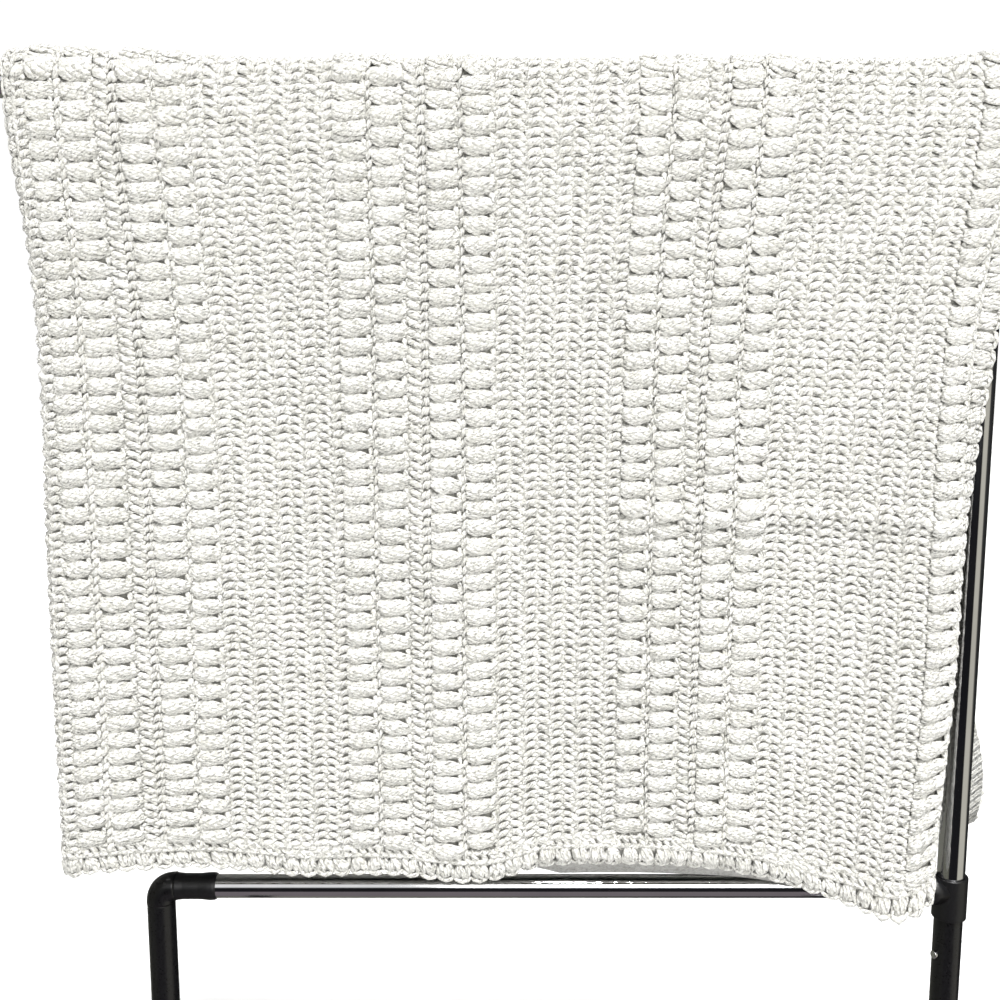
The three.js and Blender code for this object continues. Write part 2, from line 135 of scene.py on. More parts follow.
# Puffs: height of each column's first crest above the hem border, in puffs, as the columns are staggered
STAGGER = (0.15, 0.13, 0.08, 0.90, 0.16, 0.94, 0.75, 0.45, 0.43, 0.20, 0.82, 0.40, 0.75)
PUFF_INSET = 0.4
PUFF_SHORTER = 1.0
PUFF_LIFT = 2.2
PUFF_OUT = 0.4
PUFF_ENDS = (0.12, 0.88)

# A puff's strands: how many on the fine part and the coarse one, their radius where there are FINE_STRANDS,
# how it shrinks from the first strand on, where on the side view the first lies and how far the others
# spread, how far a strand turns, and how much each of these differs at random
FINE_STRANDS = 6
BACK_STRANDS = 4
PUFF_STRAND = 2.7
PUFF_THINNER = (1.26, 0.34)
PUFF_SPREAD = (-0.08, 1.16)
PUFF_TURN = 0.6
PUFF_NOISE = {
    "turn": 0.3, "strand": 0.02, "wobble": 0.014, "size": 0.05,
    "u": 0.3, "w": 0.35, "h": 0.25, "radius": 0.06,
}
PUFF_SIDE = {
    "s": (-0.25, 0.0, 0.22, 0.42, 0.56, 0.72, 0.86, 1.0, 1.25),
    "w": (10.2, 8.0, 5.0, 2.2, -0.4, -3.2, -5.4, -6.9, -7.1),
    "h": (0.2, 2.6, 5.5, 6.8, 6.4, 4.8, 3.0, 1.1, -2.2),
}
PUFF_LINE = {"t": (0.0, 0.2, 0.35, 0.6, 1.0), "w": (-0.4, -2.0, -1.8, 0.2, 2.6)}
PUFF_LINE_SHARE = (0.6, 0.4)

# How a puff's strands draw in at their ends: by how much and up to where at the left, and so at the right
PUFF_NARROW = (0.02, 0.15, 0.06, 0.82)
PUFF_LOW = (0.16, 0.14, 0.36, 0.82)
PUFF_TAPER = (0.15, 0.2, 0.25, 0.75)

# Stitches: rows of (u, w, h, radius) along a strand, from its own place. A strand has as many sides as rows
GATHER = (
    (-4.0, 0.6, 4.0, 1.5), (-3.2, 5.0, 5.6, 2.3), (-2.8, 9.8, 5.2, 2.7), (-3.2, 14.2, 3.4, 3.0),
)
RISING = (
    (-0.4, -1.4, 2.0, 3.3), (3.4, -0.2, 2.9, 3.2), (8.0, 1.2, 3.2, 3.4),
    (11.8, 1.9, 2.9, 3.2), (14.2, 2.4, 1.9, 3.0),
)
RISING_LOW = (
    (-0.8, -6.2, 3.6, 3.1), (4.8, -3.1, 1.0, 2.1), (9.0, -2.1, 1.0, 2.1), (14.4, -2.6, 3.4, 3.1),
)
FALLING = (
    (0.2, 1.8, 2.0, 2.9), (3.0, 1.7, 3.2, 3.2), (6.2, 0.9, 3.7, 3.4),
    (9.4, -0.7, 3.1, 3.1), (12.8, -2.6, 1.9, 2.6),
)
FALLING_LOW = (
    (-0.4, -3.2, 3.4, 3.1), (4.3, -2.6, 1.0, 2.1), (7.9, -3.4, 1.0, 2.1), (12.4, -6.8, 3.2, 3.0),
)
TRAILING = (
    (8.6, -2.6, 1.8, 1.8), (10.8, -4.2, 3.0, 2.3), (13.2, -5.8, 3.4, 2.5),
    (15.6, -7.0, 2.4, 2.4), (17.6, -7.6, 0.2, 1.8),
)
LOAF = (
    (0.2, 2.4, 1.2, 2.8), (3.4, 1.8, 3.0, 3.3), (7.4, 0.4, 3.6, 3.4),
    (10.8, -1.6, 2.8, 3.1), (13.2, -3.4, 0.8, 2.3),
)
UNDER_LOAF = (
    (-0.2, -3.6, 3.2, 3.0), (4.2, -2.8, 1.1, 2.2), (8.4, -4.0, 1.3, 2.3), (12.8, -6.8, 3.2, 2.8),
)
BEAD = (
    (12.4, -4.8, 2.0, 2.5), (14.8, -2.6, 3.2, 3.0), (17.2, 0.0, 3.4, 3.0), (19.8, 2.2, 2.0, 2.5),
)
LADDER_EDGE = (
    (18.2, -4.6, 2.0, 2.3), (19.6, -2.2, 3.2, 2.7), (20.8, 0.6, 3.2, 2.7), (21.6, 3.2, 2.0, 2.3),
)
CHAIN_LOOP = (
    (0.2, -4.6, 3.0, 2.1), (1.4, -1.4, 4.6, 2.7), (2.8, 1.6, 4.8, 2.7), (4.2, 4.8, 3.2, 2.1),
)
CHAIN_LOOP_WIDTH = 4.6
CHAIN_LOOP_LEAST = 3.0
CHAIN_SHIFT = 3.1
STITCH_FLAT = 0.85
LADDER_FLAT = 0.9
FALLING_LATER = 0.08

# Coarse strands: their rings, and in plain rows their sides and how much thicker they are
COARSE_RINGS = 3
COARSE_SIDES = 4
COARSE_SWELL = 1.3

# How far strands are moved at random, the share of it that goes outwards and that bends them, and how much
# their radii differ
STITCH_JITTER = 0.3
GATHER_JITTER = 0.25
CELL_JITTER = 0.45
RIM_JITTER = 0.2
JITTER_OUT = 0.6
JITTER_BEND = 0.4
SWELL = 0.08

# How far each pair of plain rows climbs against the last one, and where each part's rows start, in stitches
CLIMB = (0.20, 0.10, -0.10)
ROW_PHASE = (0.50, 0.53, 0.05)

# Border: cells along the edge, the strands in each, where a cell starts, in from the edge, and where its
# rim bends, as a share of half a cell
CELL_PITCH = 18.4
CELL_STRANDS = (-2, -1, 0, 1, 2)
CELL_SPACING = 0.33
CELL_LEAN = 0.28
CELL_RISE = 1.2
CELL_FALL = 0.45
CELL_INNER = {"hem": 21, "left": 20, "right": 25}
RIM_CORNER = 0.7

# Plies of the yarn round a strand, the length in which they turn once, the random shift along a strand, and
# how far a strand's tips stand out, as a share of its radius
PLIES = 2
PLY_LENGTH = 8.0
UV_SHIFT = 400
TIP = 0.5

# Depth of the bump in metres, and how far the wrong side's rows of stitches slant
RELIEF = {"plies": 0.001, "rows": 0.004}
ROW_SLANT = 1.6

# Rack, as its solids are
GAP = 0.3
UPRIGHT_X = 533.5
SHORT_LEG_X = -320.5
RAIL_R = 14.0
RAIL_HALF = 620.0
BAR_Z = 588.0
BAR_R = 12.5
UPRIGHT_R = 14.5
POST_R = 15.0
JOINT_TOP, JOINT_BOTTOM, JOINT_R = 600.0, 554.0, 18.0
JOINT_WEB_TOP, JOINT_WEB_BOTTOM = 584.0, 568.0
SOCKET_R, SOCKET_REACH, SOCKET_Z = 17.0, 23.0, BAR_Z - 3
SADDLE_RINGS = ((SOCKET_R, 0.0), (SOCKET_R - 0.5, 0.0), (10.0, 1.2), (1.0, 1.2))
SADDLE_SUNK = 0.9
BAR_END_INSET = 17.0
NECK_R, NECK_TOP_DROP = 12.0, 36.0
COLLAR_DROP, COLLAR_R, COLLAR_DEPTH = 80.0, 17.0, 30.0
CAP_R, CAP_LENGTH, CAP_WALL = 16.0, 20.0, 6.0
BEND_R, BEND_TUBE_R = 17.0, 15.3
SLEEVE_LENGTH, SLEEVE_NECK_R, SLEEVE_LIP_R = 44.0, 13.6, 14.6
SLEEVE_SOCKET_SHARE = 0.6
SCREW_Z, SCREW_R, SCREW_LENGTH = 512.0, 4.4, 4.0
FOOT_HALF, FOOT_WIDTH, FOOT_HEIGHT, FOOT_LIFT, FOOT_CORNER = 212.0, 34.0, 26.0, 3.0, 9.0
FOOT_EDGE = 1.2
FOOT_END_STEPS = ((0.0, 1.4), (0.2, 0.6), (0.8, 0.1), (1.6, 0.0))
FOOT_CAP_WIDTH, FOOT_CAP_HEIGHT, FOOT_CAP_LENGTH = 40.0, 33.0, 24.0
FOOT_SOCKET_R, FOOT_SOCKET_TOP, FOOT_SOCKET_WALL = 20.0, 78.0, 4.0
POST_BOTTOM = FOOT_LIFT + FOOT_HEIGHT + 2 * GAP + FOOT_SOCKET_WALL

# The share of an edge that a rounded corner may take, and the points round a turned ring
CUT_SHARE = 0.3
ROUND = 36
AROUND = 2 * math.pi * np.arange(ROUND) / ROUND

# Light and camera, in metres and degrees
FLOOR_HALF = 12.0
SOFT_LIGHT = 0.48
SEEN_WHITE = 1.05
SUN = {"power": 4.5, "angle": 12, "down": 27, "turn": 8}
FRONT_FILL = {"place": (0.6, -3.0, 1.9), "target": (0.0, 0.0, 1.0), "size": 1.6, "power": 30}
CORNER_FILL = {"place": (0.75, -0.9, 1.75), "target": (0.42, 0.0, 1.2), "size": 0.5, "power": 2.2}
CAMERA_PLACE = (0.0465, -1.220, 1.197)
CAMERA_DOWN = math.radians(8.7)
FOCAL_PIXELS = 1200
PICTURE_PIXELS = 1000
SENSOR = 36

# What the chrome mirrors: axis, where the step starts and ends, colour before and after it. None is what
# the rows so far have made, ROOM_BEHIND is the half behind the camera, ROOM_SPLIT is how softly they meet
ROOM_AHEAD = (
    ("Z", -0.56, -0.46, (0.20, 0.175, 0.19), (0.012, 0.012, 0.014)),
    ("Z", 0.06, 0.30, None, (1.0, 1.0, 1.0)),
    ("Z", 0.60, 0.70, None, (0.075, 0.07, 0.055)),
    ("X", 0.42, 0.52, None, (0.62, 0.60, 0.52)),
    ("X", 0.90, 0.97, None, (0.05, 0.05, 0.05)),
    ("X", -0.62, -0.52, (0.16, 0.16, 0.13), None),
)
ROOM_BEHIND = ("X", -0.2, 0.3, (0.20, 0.20, 0.17), (0.03, 0.03, 0.03))
ROOM_SPLIT = 0.1
SEED = 11
rng = np.random.default_rng(SEED)


def smooth(t):
    """Eases from 0 to 1 as t does."""
    c = np.clip(t, 0, 1)
    return c * c * (3 - 2 * c)


def bump(x, centre, width):
    """A bell of height 1 at the centre."""
    return np.exp(-(((x - centre) / width) ** 2))


def along(table, column, u):
    """Reads a column of a table at u, on the smooth cubic through its rows."""
    x = np.array(table["across"], float)
    y = np.array(table[column], float)
    rows = np.arange(len(x))
    before = np.maximum(rows - 1, 0)
    after = np.minimum(rows + 1, len(x) - 1)
    slope = (y[after] - y[before]) / (x[after] - x[before])
    i = np.clip(np.searchsorted(x, u) - 1, 0, len(x) - 2)
    step = x[i + 1] - x[i]
    t = (u - x[i]) / step
    h = 1 - t
    ease = t * t * (3 - 2 * t)
    return y[i] + (y[i + 1] - y[i]) * ease + step * t * h * (slope[i] * h - slope[i + 1] * t)


def puff_columns():
    """Left and right edge of each puff column, group by group across the width."""
    starts = []
    u = BORDER
    for rows, row in PLAIN_PARTS:
        starts += [u, u + PUFF + CHAIN, u + 2 * PUFF + CHAIN + LADDER, u + 3 * PUFF + 2 * CHAIN + LADDER]
        u += PUFF_GROUP + rows * row
    columns = [(start, start + PUFF) for start in starts + [u]]
    for i, (start, width) in enumerate(LEFT_COLUMNS):
        columns[i] = (start, start + width)
    return columns


COLUMNS = puff_columns()
WIDTH = COLUMNS[-1][1] + BORDER


def spring(u):
    """How far the cloth stands off the rail towards its two side borders."""
    left = 1 - smooth(u / SPRING["left_seat"])
    right = smooth((u - SPRING["right_seat"]) / (WIDTH - SPRING["right_seat"]))
    return SPRING["up"] * (left + right)


def hanging(u, drop, front):
    """Middle of the cloth on a side, drop below the rail: x draws in from the rail's line to the low one, z
    is stretched so that the hem ends at its height, and folds, curls, roll and crease leave the plane."""
    whole = PITCH * (FRONT_PUFFS if front else BACK_PUFFS)
    drop = np.maximum(drop, 0)
    hem = along(FRONT_HEM if front else BACK_HEM, "z", u)
    z = RAIL_Z - drop * (1 + ((RAIL_Z - hem) / whole - 1) * (drop / whole) ** HEM_POWER)
    spread = np.exp(-((drop / along(FALL_LINES, "settle", u)) ** SPREAD_POWER))
    low = along(FALL_LINES, "front" if front else "back", u)
    x = low + (along(FALL_LINES, "rail", u) - low) * spread
    out = MID_R + spring(u) + FLARE * smooth(drop / FLARE_DEPTH)
    for across, width, depth, starts in FRONT_FOLDS if front else BACK_FOLDS:
        out = out + depth * bump(u, across, width) * smooth((drop - starts) / FOLD_EASE)
    left = LEFT_CURL["back"] * smooth((drop - LEFT_CURL["starts"]) / CURL_EASE)
    out = out - left * np.maximum(0, 1 - u / LEFT_CURL["from"]) ** 2
    if front:
        draw = LEFT_DRAW["inward"] * bump(drop, LEFT_DRAW["drop"], LEFT_DRAW["height"])
        x = x + draw * (1 - smooth(u / LEFT_DRAW["to"]))
        draw = np.interp(drop, RIGHT_DRAW["drop"], RIGHT_DRAW["inward"])
        x = x - draw * smooth((u - RIGHT_DRAW_FROM) / RIGHT_DRAW_EASE)
        right = RIGHT_CURL["back"] * smooth((drop - RIGHT_CURL["starts"]) / CURL_EASE)
        beyond = np.maximum(0, (u - RIGHT_CURL["from"]) / (WIDTH - RIGHT_CURL["from"]))
        out = out - right * beyond ** ROLL_POWER
        above = np.clip(1 - (z - hem) / HEM_CURL_HEIGHT, 0, 1)
        for across, width, curl in HEM_CURLS:
            out = out + curl * bump(u, across, width) * above * above
        reach = smooth((u - CREASE["from"]) / CREASE["soft"]) * smooth((CREASE["to"] - u) / CREASE["soft"])
        out = out + CREASE["out"] * bump(drop, CREASE["drop"], CREASE["height"]) * reach
        roll = np.clip(1 - (z - hem) / HEM_ROLL["height"], 0, 1) ** ROLL_POWER
        out = out - HEM_ROLL["back"] * roll * np.sqrt(bump(u, HEM_ROLL["across"], HEM_ROLL["width"]))
        out = out - HEM_UNDER["back"] * np.maximum(0, hem - z)
        return np.stack([x, -out, z], -1)
    corner = bump(z, BACK_CORNER["z"], BACK_CORNER["height"])
    x = x + BACK_CORNER["out"] * corner * smooth((u - BACK_CORNER["from"]) / (WIDTH - BACK_CORNER["from"]))
    return np.stack([x, out, z], -1)


def middle(u, w):
    """Middle of the cloth: two hanging sides and a half circle over the rail between them."""
    turn = math.pi * (w - RAIL_FROM) / (RAIL_TO - RAIL_FROM)
    r = MID_R + spring(u)
    p = np.stack([along(FALL_LINES, "rail", u), -r * np.cos(turn), RAIL_Z + r * np.sin(turn)], -1)
    front = w <= RAIL_FROM
    back = w >= RAIL_TO
    p[front] = hanging(u[front], RAIL_FROM - w[front], True)
    p[back] = hanging(u[back], w[back] - RAIL_TO, False)
    return p


def on_cloth(points):
    """Lays flat points (u, w, h) on the drape: the middle at (u, w), and h along the cloth's own normal."""
    u, w, h = (points[..., i].ravel() for i in range(3))
    across = middle(u + SLOPE_ACROSS, w) - middle(u - SLOPE_ACROSS, w)
    length = middle(u, w + SLOPE_ALONG) - middle(u, w - SLOPE_ALONG)
    normal = np.cross(across, length)
    normal /= np.linalg.norm(normal, axis=-1, keepdims=True)
    return (middle(u, w) + normal * h[:, None]) * MM


def placed(name, data):
    """A new object in the scene."""
    item = bpy.data.objects.new(name, data)
    bpy.context.scene.collection.objects.link(item)
    return item


def mesh_piece(name, points, quads, triangles, uvs, material_list, quad_material=None):
    """A smooth-shaded mesh from arrays, in metres: quads first, triangles after, and one UV per corner."""
    corners = np.concatenate([quads.ravel(), triangles.ravel()]).astype(np.int32)
    sizes = np.concatenate([np.full(len(quads), 4), np.full(len(triangles), 3)]).astype(np.int32)
    mesh = bpy.data.meshes.new(name)
    mesh.vertices.add(len(points))
    mesh.vertices.foreach_set("co", points.astype(np.float32).ravel())
    mesh.loops.add(len(corners))
    mesh.loops.foreach_set("vertex_index", corners)
    mesh.polygons.add(len(sizes))
    mesh.polygons.foreach_set("loop_start", (np.cumsum(sizes) - sizes).astype(np.int32))
    mesh.polygons.foreach_set("use_smooth", np.ones(len(sizes), bool))
    if quad_material is not None:
        mesh.polygons.foreach_set("material_index", quad_material.astype(np.int32))
    mesh.update(calc_edges=True)
    if uvs is not None:
        layer = mesh.uv_layers.new(name="UVMap")
        layer.uv.foreach_set("vector", uvs.astype(np.float32).ravel())
    for material in material_list:
        mesh.materials.append(material)
    mesh.validate()
    piece = placed(name, mesh)
    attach(piece, "root")
    return piece


def tube_faces(rings, sides):
    """Faces of a closed tube: quads from ring to ring, and a fan of triangles over each end, whose middle
    is one of the tube's two last points. Also the ring and the side that each quad starts from."""
    j, k = (index.ravel() for index in np.meshgrid(np.arange(rings - 1), np.arange(sides), indexing="ij"))
    after = (k + 1) % sides
    here, there = j * sides, (j + 1) * sides
    quads = np.stack([here + k, here + after, there + after, there + k], -1)
    fan = np.arange(sides)
    fan_after = (fan + 1) % sides
    end = (rings - 1) * sides
    low = np.stack([np.full(sides, rings * sides), fan_after, fan], -1)
    high = np.stack([np.full(sides, rings * sides + 1), end + fan, end + fan_after], -1)
    return quads, np.concatenate([low, high]), j, k


def strands(paths, radii, sides, flat=1.0):
    """Closed tubes along paths in flat cloth coordinates. A ring's points are the path's point plus the
    radius times (cos a) along the strand's own side and (sin a) out of the cloth, flattened by the factor
    flat. Returns points, quads, triangles and UVs, where U is the length in mm and V goes once round."""
    n, rings = radii.shape
    tangent = np.gradient(paths, axis=1)
    tangent /= np.linalg.norm(tangent, axis=-1, keepdims=True)
    up = np.array([0.0, 0.0, 1.0])
    normal = up - tangent * tangent[..., 2:3]
    normal /= np.linalg.norm(normal, axis=-1, keepdims=True)
    side = np.cross(normal, tangent)
    angle = math.pi / 2 + 2 * math.pi * np.arange(sides) / sides
    ring = (
        np.cos(angle)[:, None] * side[:, :, None, :]
        + flat * np.sin(angle)[:, None] * normal[:, :, None, :]
    )
    skin = paths[:, :, None, :] + radii[:, :, None, None] * ring
    first = paths[:, 0] - tangent[:, 0] * radii[:, :1] * TIP
    last = paths[:, -1] + tangent[:, -1] * radii[:, -1:] * TIP
    points = np.concatenate([skin.reshape(n, -1, 3), first[:, None], last[:, None]], 1)
    quad, cap, j, k = tube_faces(rings, sides)
    start = (np.arange(n) * (rings * sides + 2))[:, None, None]
    run = np.cumsum(np.linalg.norm(np.diff(paths, axis=1), axis=-1), 1)
    length = np.concatenate([np.zeros((n, 1)), run], 1) + rng.uniform(0, UV_SHIFT, (n, 1))
    quad_u = length[:, np.stack([j, j, j + 1, j + 1], -1)]
    quad_v = np.broadcast_to(np.stack([k, k + 1, k + 1, k], -1) / sides, quad_u.shape)
    cap_u = np.repeat(length[:, [0, -1]], 3 * sides, 1)
    k = np.arange(sides)
    low_v = np.stack([k + 0.5, k + 1, k], -1)
    high_v = np.stack([k + 0.5, k, k + 1], -1)
    cap_v = np.broadcast_to((np.concatenate([low_v, high_v]) / sides).ravel(), (n, 6 * sides))
    uvs = (
        np.stack([quad_u, quad_v], -1).reshape(-1, 2),
        np.stack([cap_u, cap_v], -1).reshape(-1, 2),
    )
    return points.reshape(-1, 3), (start + quad).reshape(-1, 4), (start + cap).reshape(-1, 3), uvs


def joined(skins):
    """Points, quads and triangles of several skins as one set, each skin counted on from the last."""
    points, quads, triangles = [], [], []
    count = 0
    for skin in skins:
        points.append(skin[0])
        quads.append(skin[1] + count)
        triangles.append(skin[2] + count)
        count += len(skin[0])
    return np.concatenate(points), np.concatenate(quads), np.concatenate(triangles)


def stitched(name, parts, material):
    """Joins several sets of strands into one piece laid on the cloth."""
    points, quads, triangles = joined(parts)
    uvs = np.concatenate([part[3][0] for part in parts] + [part[3][1] for part in parts])
    return mesh_piece(name, on_cloth(points), quads, triangles, uvs, [material])


def curve(points, rings):
    """A smooth path through a few points, cut into rings: between two points a cubic whose slope at each is
    half the step between the points on its two sides."""
    p = np.array(points, float)
    ends = np.concatenate([2 * p[:1] - p[1:2], p, 2 * p[-1:] - p[-2:-1]])
    t = np.linspace(0, len(p) - 1, rings)
    i = np.minimum(t.astype(int), len(p) - 2)
    f = (t - i)[:, None]
    a, b, c, d = ends[i], ends[i + 1], ends[i + 2], ends[i + 3]
    return b + 0.5 * f * (c - a + f * (2 * a - 5 * b + 4 * c - d + f * (3 * (b - c) + d - a)))


def bent(places, rows, rings, jitter):
    """The same short strand at many places, from its rows of (u, w, h, radius) cut into rings. Every strand
    is moved, bent and swollen a little at random. Returns paths and radii."""
    shape = curve(rows, rings)
    n = len(places)
    paths = places[:, None, :] + shape[None, :, :3] + rng.normal(0, jitter, (n, 1, 3)) * (1, 1, JITTER_OUT)
    paths = paths + rng.normal(0, jitter * JITTER_BEND, (n, rings, 3))
    radii = shape[:, 3] * (1 + rng.normal(0, SWELL, (n, 1)))
    return paths, np.broadcast_to(radii, (n, rings))


def repeated(stitch, places, fine, stretch, flat, swollen=1.0, sides=None):
    """Strands of one stitch at its places, its path stretched across the cloth and its radii swollen."""
    rows = np.array(stitch) * (stretch, 1, 1, swollen)
    rings = len(rows) if fine else COARSE_RINGS
    return strands(*bent(places, rows, rings, STITCH_JITTER), sides or len(rows), flat)


def places_on(u, w):
    """Points (u, w, 0) from one u and an array of w, or the other way round."""
    u, w = np.broadcast_arrays(np.asarray(u, float), np.asarray(w, float))
    return np.stack([u.ravel(), w.ravel(), np.zeros(u.size)], -1)


def steps(phase, pitch, low, high):
    """Places one pitch apart between low and high, starting at the phase, which is a share of the pitch."""
    first = math.ceil(low / pitch - phase)
    last = math.floor(high / pitch - phase)
    return (np.arange(first, last + 1) + phase) * pitch


def drawn_in(t, left, left_to, right, right_from):
    """A factor along a strand: it rises by left up to left_to, and falls by right after right_from."""
    rise = 1 - left + left * smooth(t / left_to)
    return rise * (1 - right * smooth((t - right_from) / (1 - right_from)))


def puffs(left, right, phase, low, high, strand_count, rings, sides):
    """Puffs of one column between two places along the cloth. A puff's side view is a round loaf: it rises
    steeply from under the puff above, is highest in its upper part and slopes back to a thin cleft at its
    lower edge. Strand k lies at place s on that side view, and s grows from the left end to the right one,
    so that the strands run down across the puff. Its right end sinks and is gathered by a small loop that
    fills the gap beside it."""
    centres = steps(phase, PITCH, low, high)
    n = len(centres)
    t = smooth(np.linspace(*PUFF_ENDS, rings))
    t = (t - t[0]) / (t[-1] - t[0])
    narrow = drawn_in(t, *PUFF_NARROW)
    height = drawn_in(t, *PUFF_LOW)
    line = np.interp(t, PUFF_LINE["t"], PUFF_LINE["w"])

    def drawn(kind, *shape):
        return rng.normal(0, PUFF_NOISE[kind], (n, *shape))

    turn = PUFF_TURN * (1 + drawn("turn", 1, 1))
    k = (np.arange(strand_count) + 0.5) / strand_count
    first, spread = PUFF_SPREAD
    s = first + spread * k[None, :, None] + turn * (t - 0.5)[None, None, :]
    s = s + drawn("strand", strand_count, 1) + drawn("wobble", strand_count, rings)
    size = 1 + drawn("size", 1, 1)
    long = right - left - PUFF_SHORTER
    u = left + PUFF_INSET + long * t[None, None, :] + drawn("u", strand_count, 1)
    w = np.interp(s, PUFF_SIDE["s"], PUFF_SIDE["w"]) * narrow
    least, more = PUFF_LINE_SHARE
    w = w + centres[:, None, None] + PUFF_LIFT + line * np.clip(least + more * s, least, 1)
    w = w + drawn("w", 1, 1)
    h = np.interp(s, PUFF_SIDE["s"], PUFF_SIDE["h"]) * height * size
    h = h + drawn("h", strand_count, 1) + PUFF_OUT
    paths = np.stack([np.broadcast_to(u, w.shape), w, h], -1).reshape(-1, rings, 3)
    thickest, thinner = PUFF_THINNER
    taper = drawn_in(t, *PUFF_TAPER) * (thickest - thinner * k[:, None])
    radii = PUFF_STRAND * FINE_STRANDS / strand_count * taper * (1 + drawn("radius", strand_count, 1))
    bundle = strands(paths, radii.reshape(-1, rings), sides)
    gather = bent(places_on(right, centres), GATHER, len(GATHER), GATHER_JITTER)
    return [bundle, strands(*gather, len(GATHER))]


def plain_rows(start, row, rows, phase, climb, low, high, fine):
    """Plain rows between two puff groups. Rows lean in turn, / then \\, so that each pair meets in a ridge
    with a thin line down it. A stitch is a thick strand over a thinner one, which is high at both ends and
    deep in the middle, so that a small wedge stays open between them. From each \\ stitch a bright strand
    runs on down through the valley under the next row. Coarse rows leave out the thinner strands."""
    parts = []
    swollen, sides = (1.0, None) if fine else (COARSE_SWELL, COARSE_SIDES)
    for i in range(rows):
        is_falling = i % 2 == 1
        w = steps(phase + climb * (i // 2) - FALLING_LATER * is_falling, STITCH, low, high)
        places = places_on(start + i * row, w)
        for stitch in (FALLING, FALLING_LOW, TRAILING) if is_falling else (RISING, RISING_LOW):
            if fine or stitch not in (FALLING_LOW, RISING_LOW):
                parts.append(repeated(stitch, places, fine, row / PLAIN_ROW, STITCH_FLAT, swollen, sides))
    return parts


def ladder(start, end, phase, low, high, fine):
    """Column of half-size \\ loaves, each over a strand that leaves a small wedge open under it, with a
    line of small round stitches and an edge strand along their right."""
    places = places_on(start, steps(phase, STITCH, low, high))
    stretch = (end - start) / LADDER
    parts = []
    for stitch in (LOAF, UNDER_LOAF, BEAD, LADDER_EDGE):
        parts.append(repeated(stitch, places, fine, stretch, LADDER_FLAT))
    return parts


def chain(start, end, phase, low, high, fine):
    """Narrow line of small slanted loops between two puff columns, two side by side where it is wide."""
    w = steps(phase, STITCH, low, high)
    count = max(1, round((end - start) / CHAIN_LOOP_WIDTH))
    width = max((end - start) / count, CHAIN_LOOP_LEAST)
    stretch = width / CHAIN
    parts = []
    for i in range(count):
        places = places_on(start + i * width, w + CHAIN_SHIFT * i)
        parts.append(repeated(CHAIN_LOOP, places, fine, stretch, 1.0, max(stretch, 1)))
    return parts


def edge_places(edge, s, d):
    """Flat (u, w) for a place s along an edge and d in from it."""
    if edge == "front_hem":
        return s, d
    if edge == "back_hem":
        return s, LENGTH - d
    if edge == "left":
        return d, s
    return WIDTH - d, s


def edge_strands(edge, rows, places, sides=4, jitter=STITCH_JITTER, lean=0.0):
    """Strands from rows of (s, d, h, radius): s along the edge from each place, d in from the edge and h
    out of the cloth. Each leans by its lean and is turned on to the edge."""
    paths, radii = bent(places_on(places, 0), rows, len(rows), jitter)
    paths[..., 0] += lean * np.linspace(-1, 1, len(rows))
    u, w = edge_places(edge, paths[..., 0], paths[..., 1])
    return strands(np.stack([u, w, paths[..., 2]], -1), radii, sides, STITCH_FLAT)


def level_strand(half, d, h, rise, radius, swell):
    """Rows of one pitch of a strand along the edge, which stands out and swells a little at its middle."""
    return [(-half, d, h, radius), (0, d, h + rise, radius + swell), (half, d, h, radius)]


def border(edge, low, high, inner):
    """Border of one edge: on a hem a row of small slanted stitches and a strand along them, then a strand
    at the place inner and cells of five strands that run out from there, the middle ones highest and each
    leaning a little one way or the other, with a rim strand round the end of each cell."""
    count = round((high - low) / CELL_PITCH)
    pitch = (high - low) / count
    half = pitch / 2
    centres = low + pitch * (np.arange(count) + 0.5)
    parts = []
    if edge.endswith("hem"):
        small = low + half * (np.arange(2 * count) + 0.5)
        slanted = [
            (-3.4, BORDER + 9, 1.0, 3.2), (-2.6, BORDER + 4, 2.4, 3.7), (0.2, BORDER - 1, 3.2, 3.6),
            (2.8, inner - 0.5, 2.2, 3.2),
        ]
        parts.append(edge_strands(edge, slanted, small))
        parts.append(edge_strands(edge, level_strand(half, BORDER + 5, 2.2, 0.3, 3.3, 0.1), centres))
    parts.append(edge_strands(edge, level_strand(half, inner + 2, 2.8, 0.6, 2.8, 0.2), centres))
    for j in CELL_STRANDS:
        s = j * half * CELL_SPACING
        rise = CELL_RISE - CELL_FALL * j * j
        lean = rng.choice([-1.0, 1.0], (count, 1)) * half * CELL_LEAN
        cell = [
            (s * 0.8, inner + 0.5, 2.0, 2.3), (s, inner - 4.0, 2.6 + rise, 2.9),
            (s * 1.05, (inner + 4) / 2, 3.0 + rise, 3.0), (s, 7.6, 2.4 + rise, 2.8),
            (s * 0.8, 4.0, 0.8, 2.2),
        ]
        parts.append(edge_strands(edge, cell, centres, 4, CELL_JITTER, lean))
    corner = half * RIM_CORNER
    rim = [
        (-half, 5.6, 0.6, 1.6), (-corner, 3.2, 2.2, 2.4), (0, 2.0, 2.8, 2.6), (corner, 3.2, 2.2, 2.4),
        (half, 5.6, 0.6, 1.6),
    ]
    parts.append(edge_strands(edge, rim, centres, 5, RIM_JITTER))
    return parts


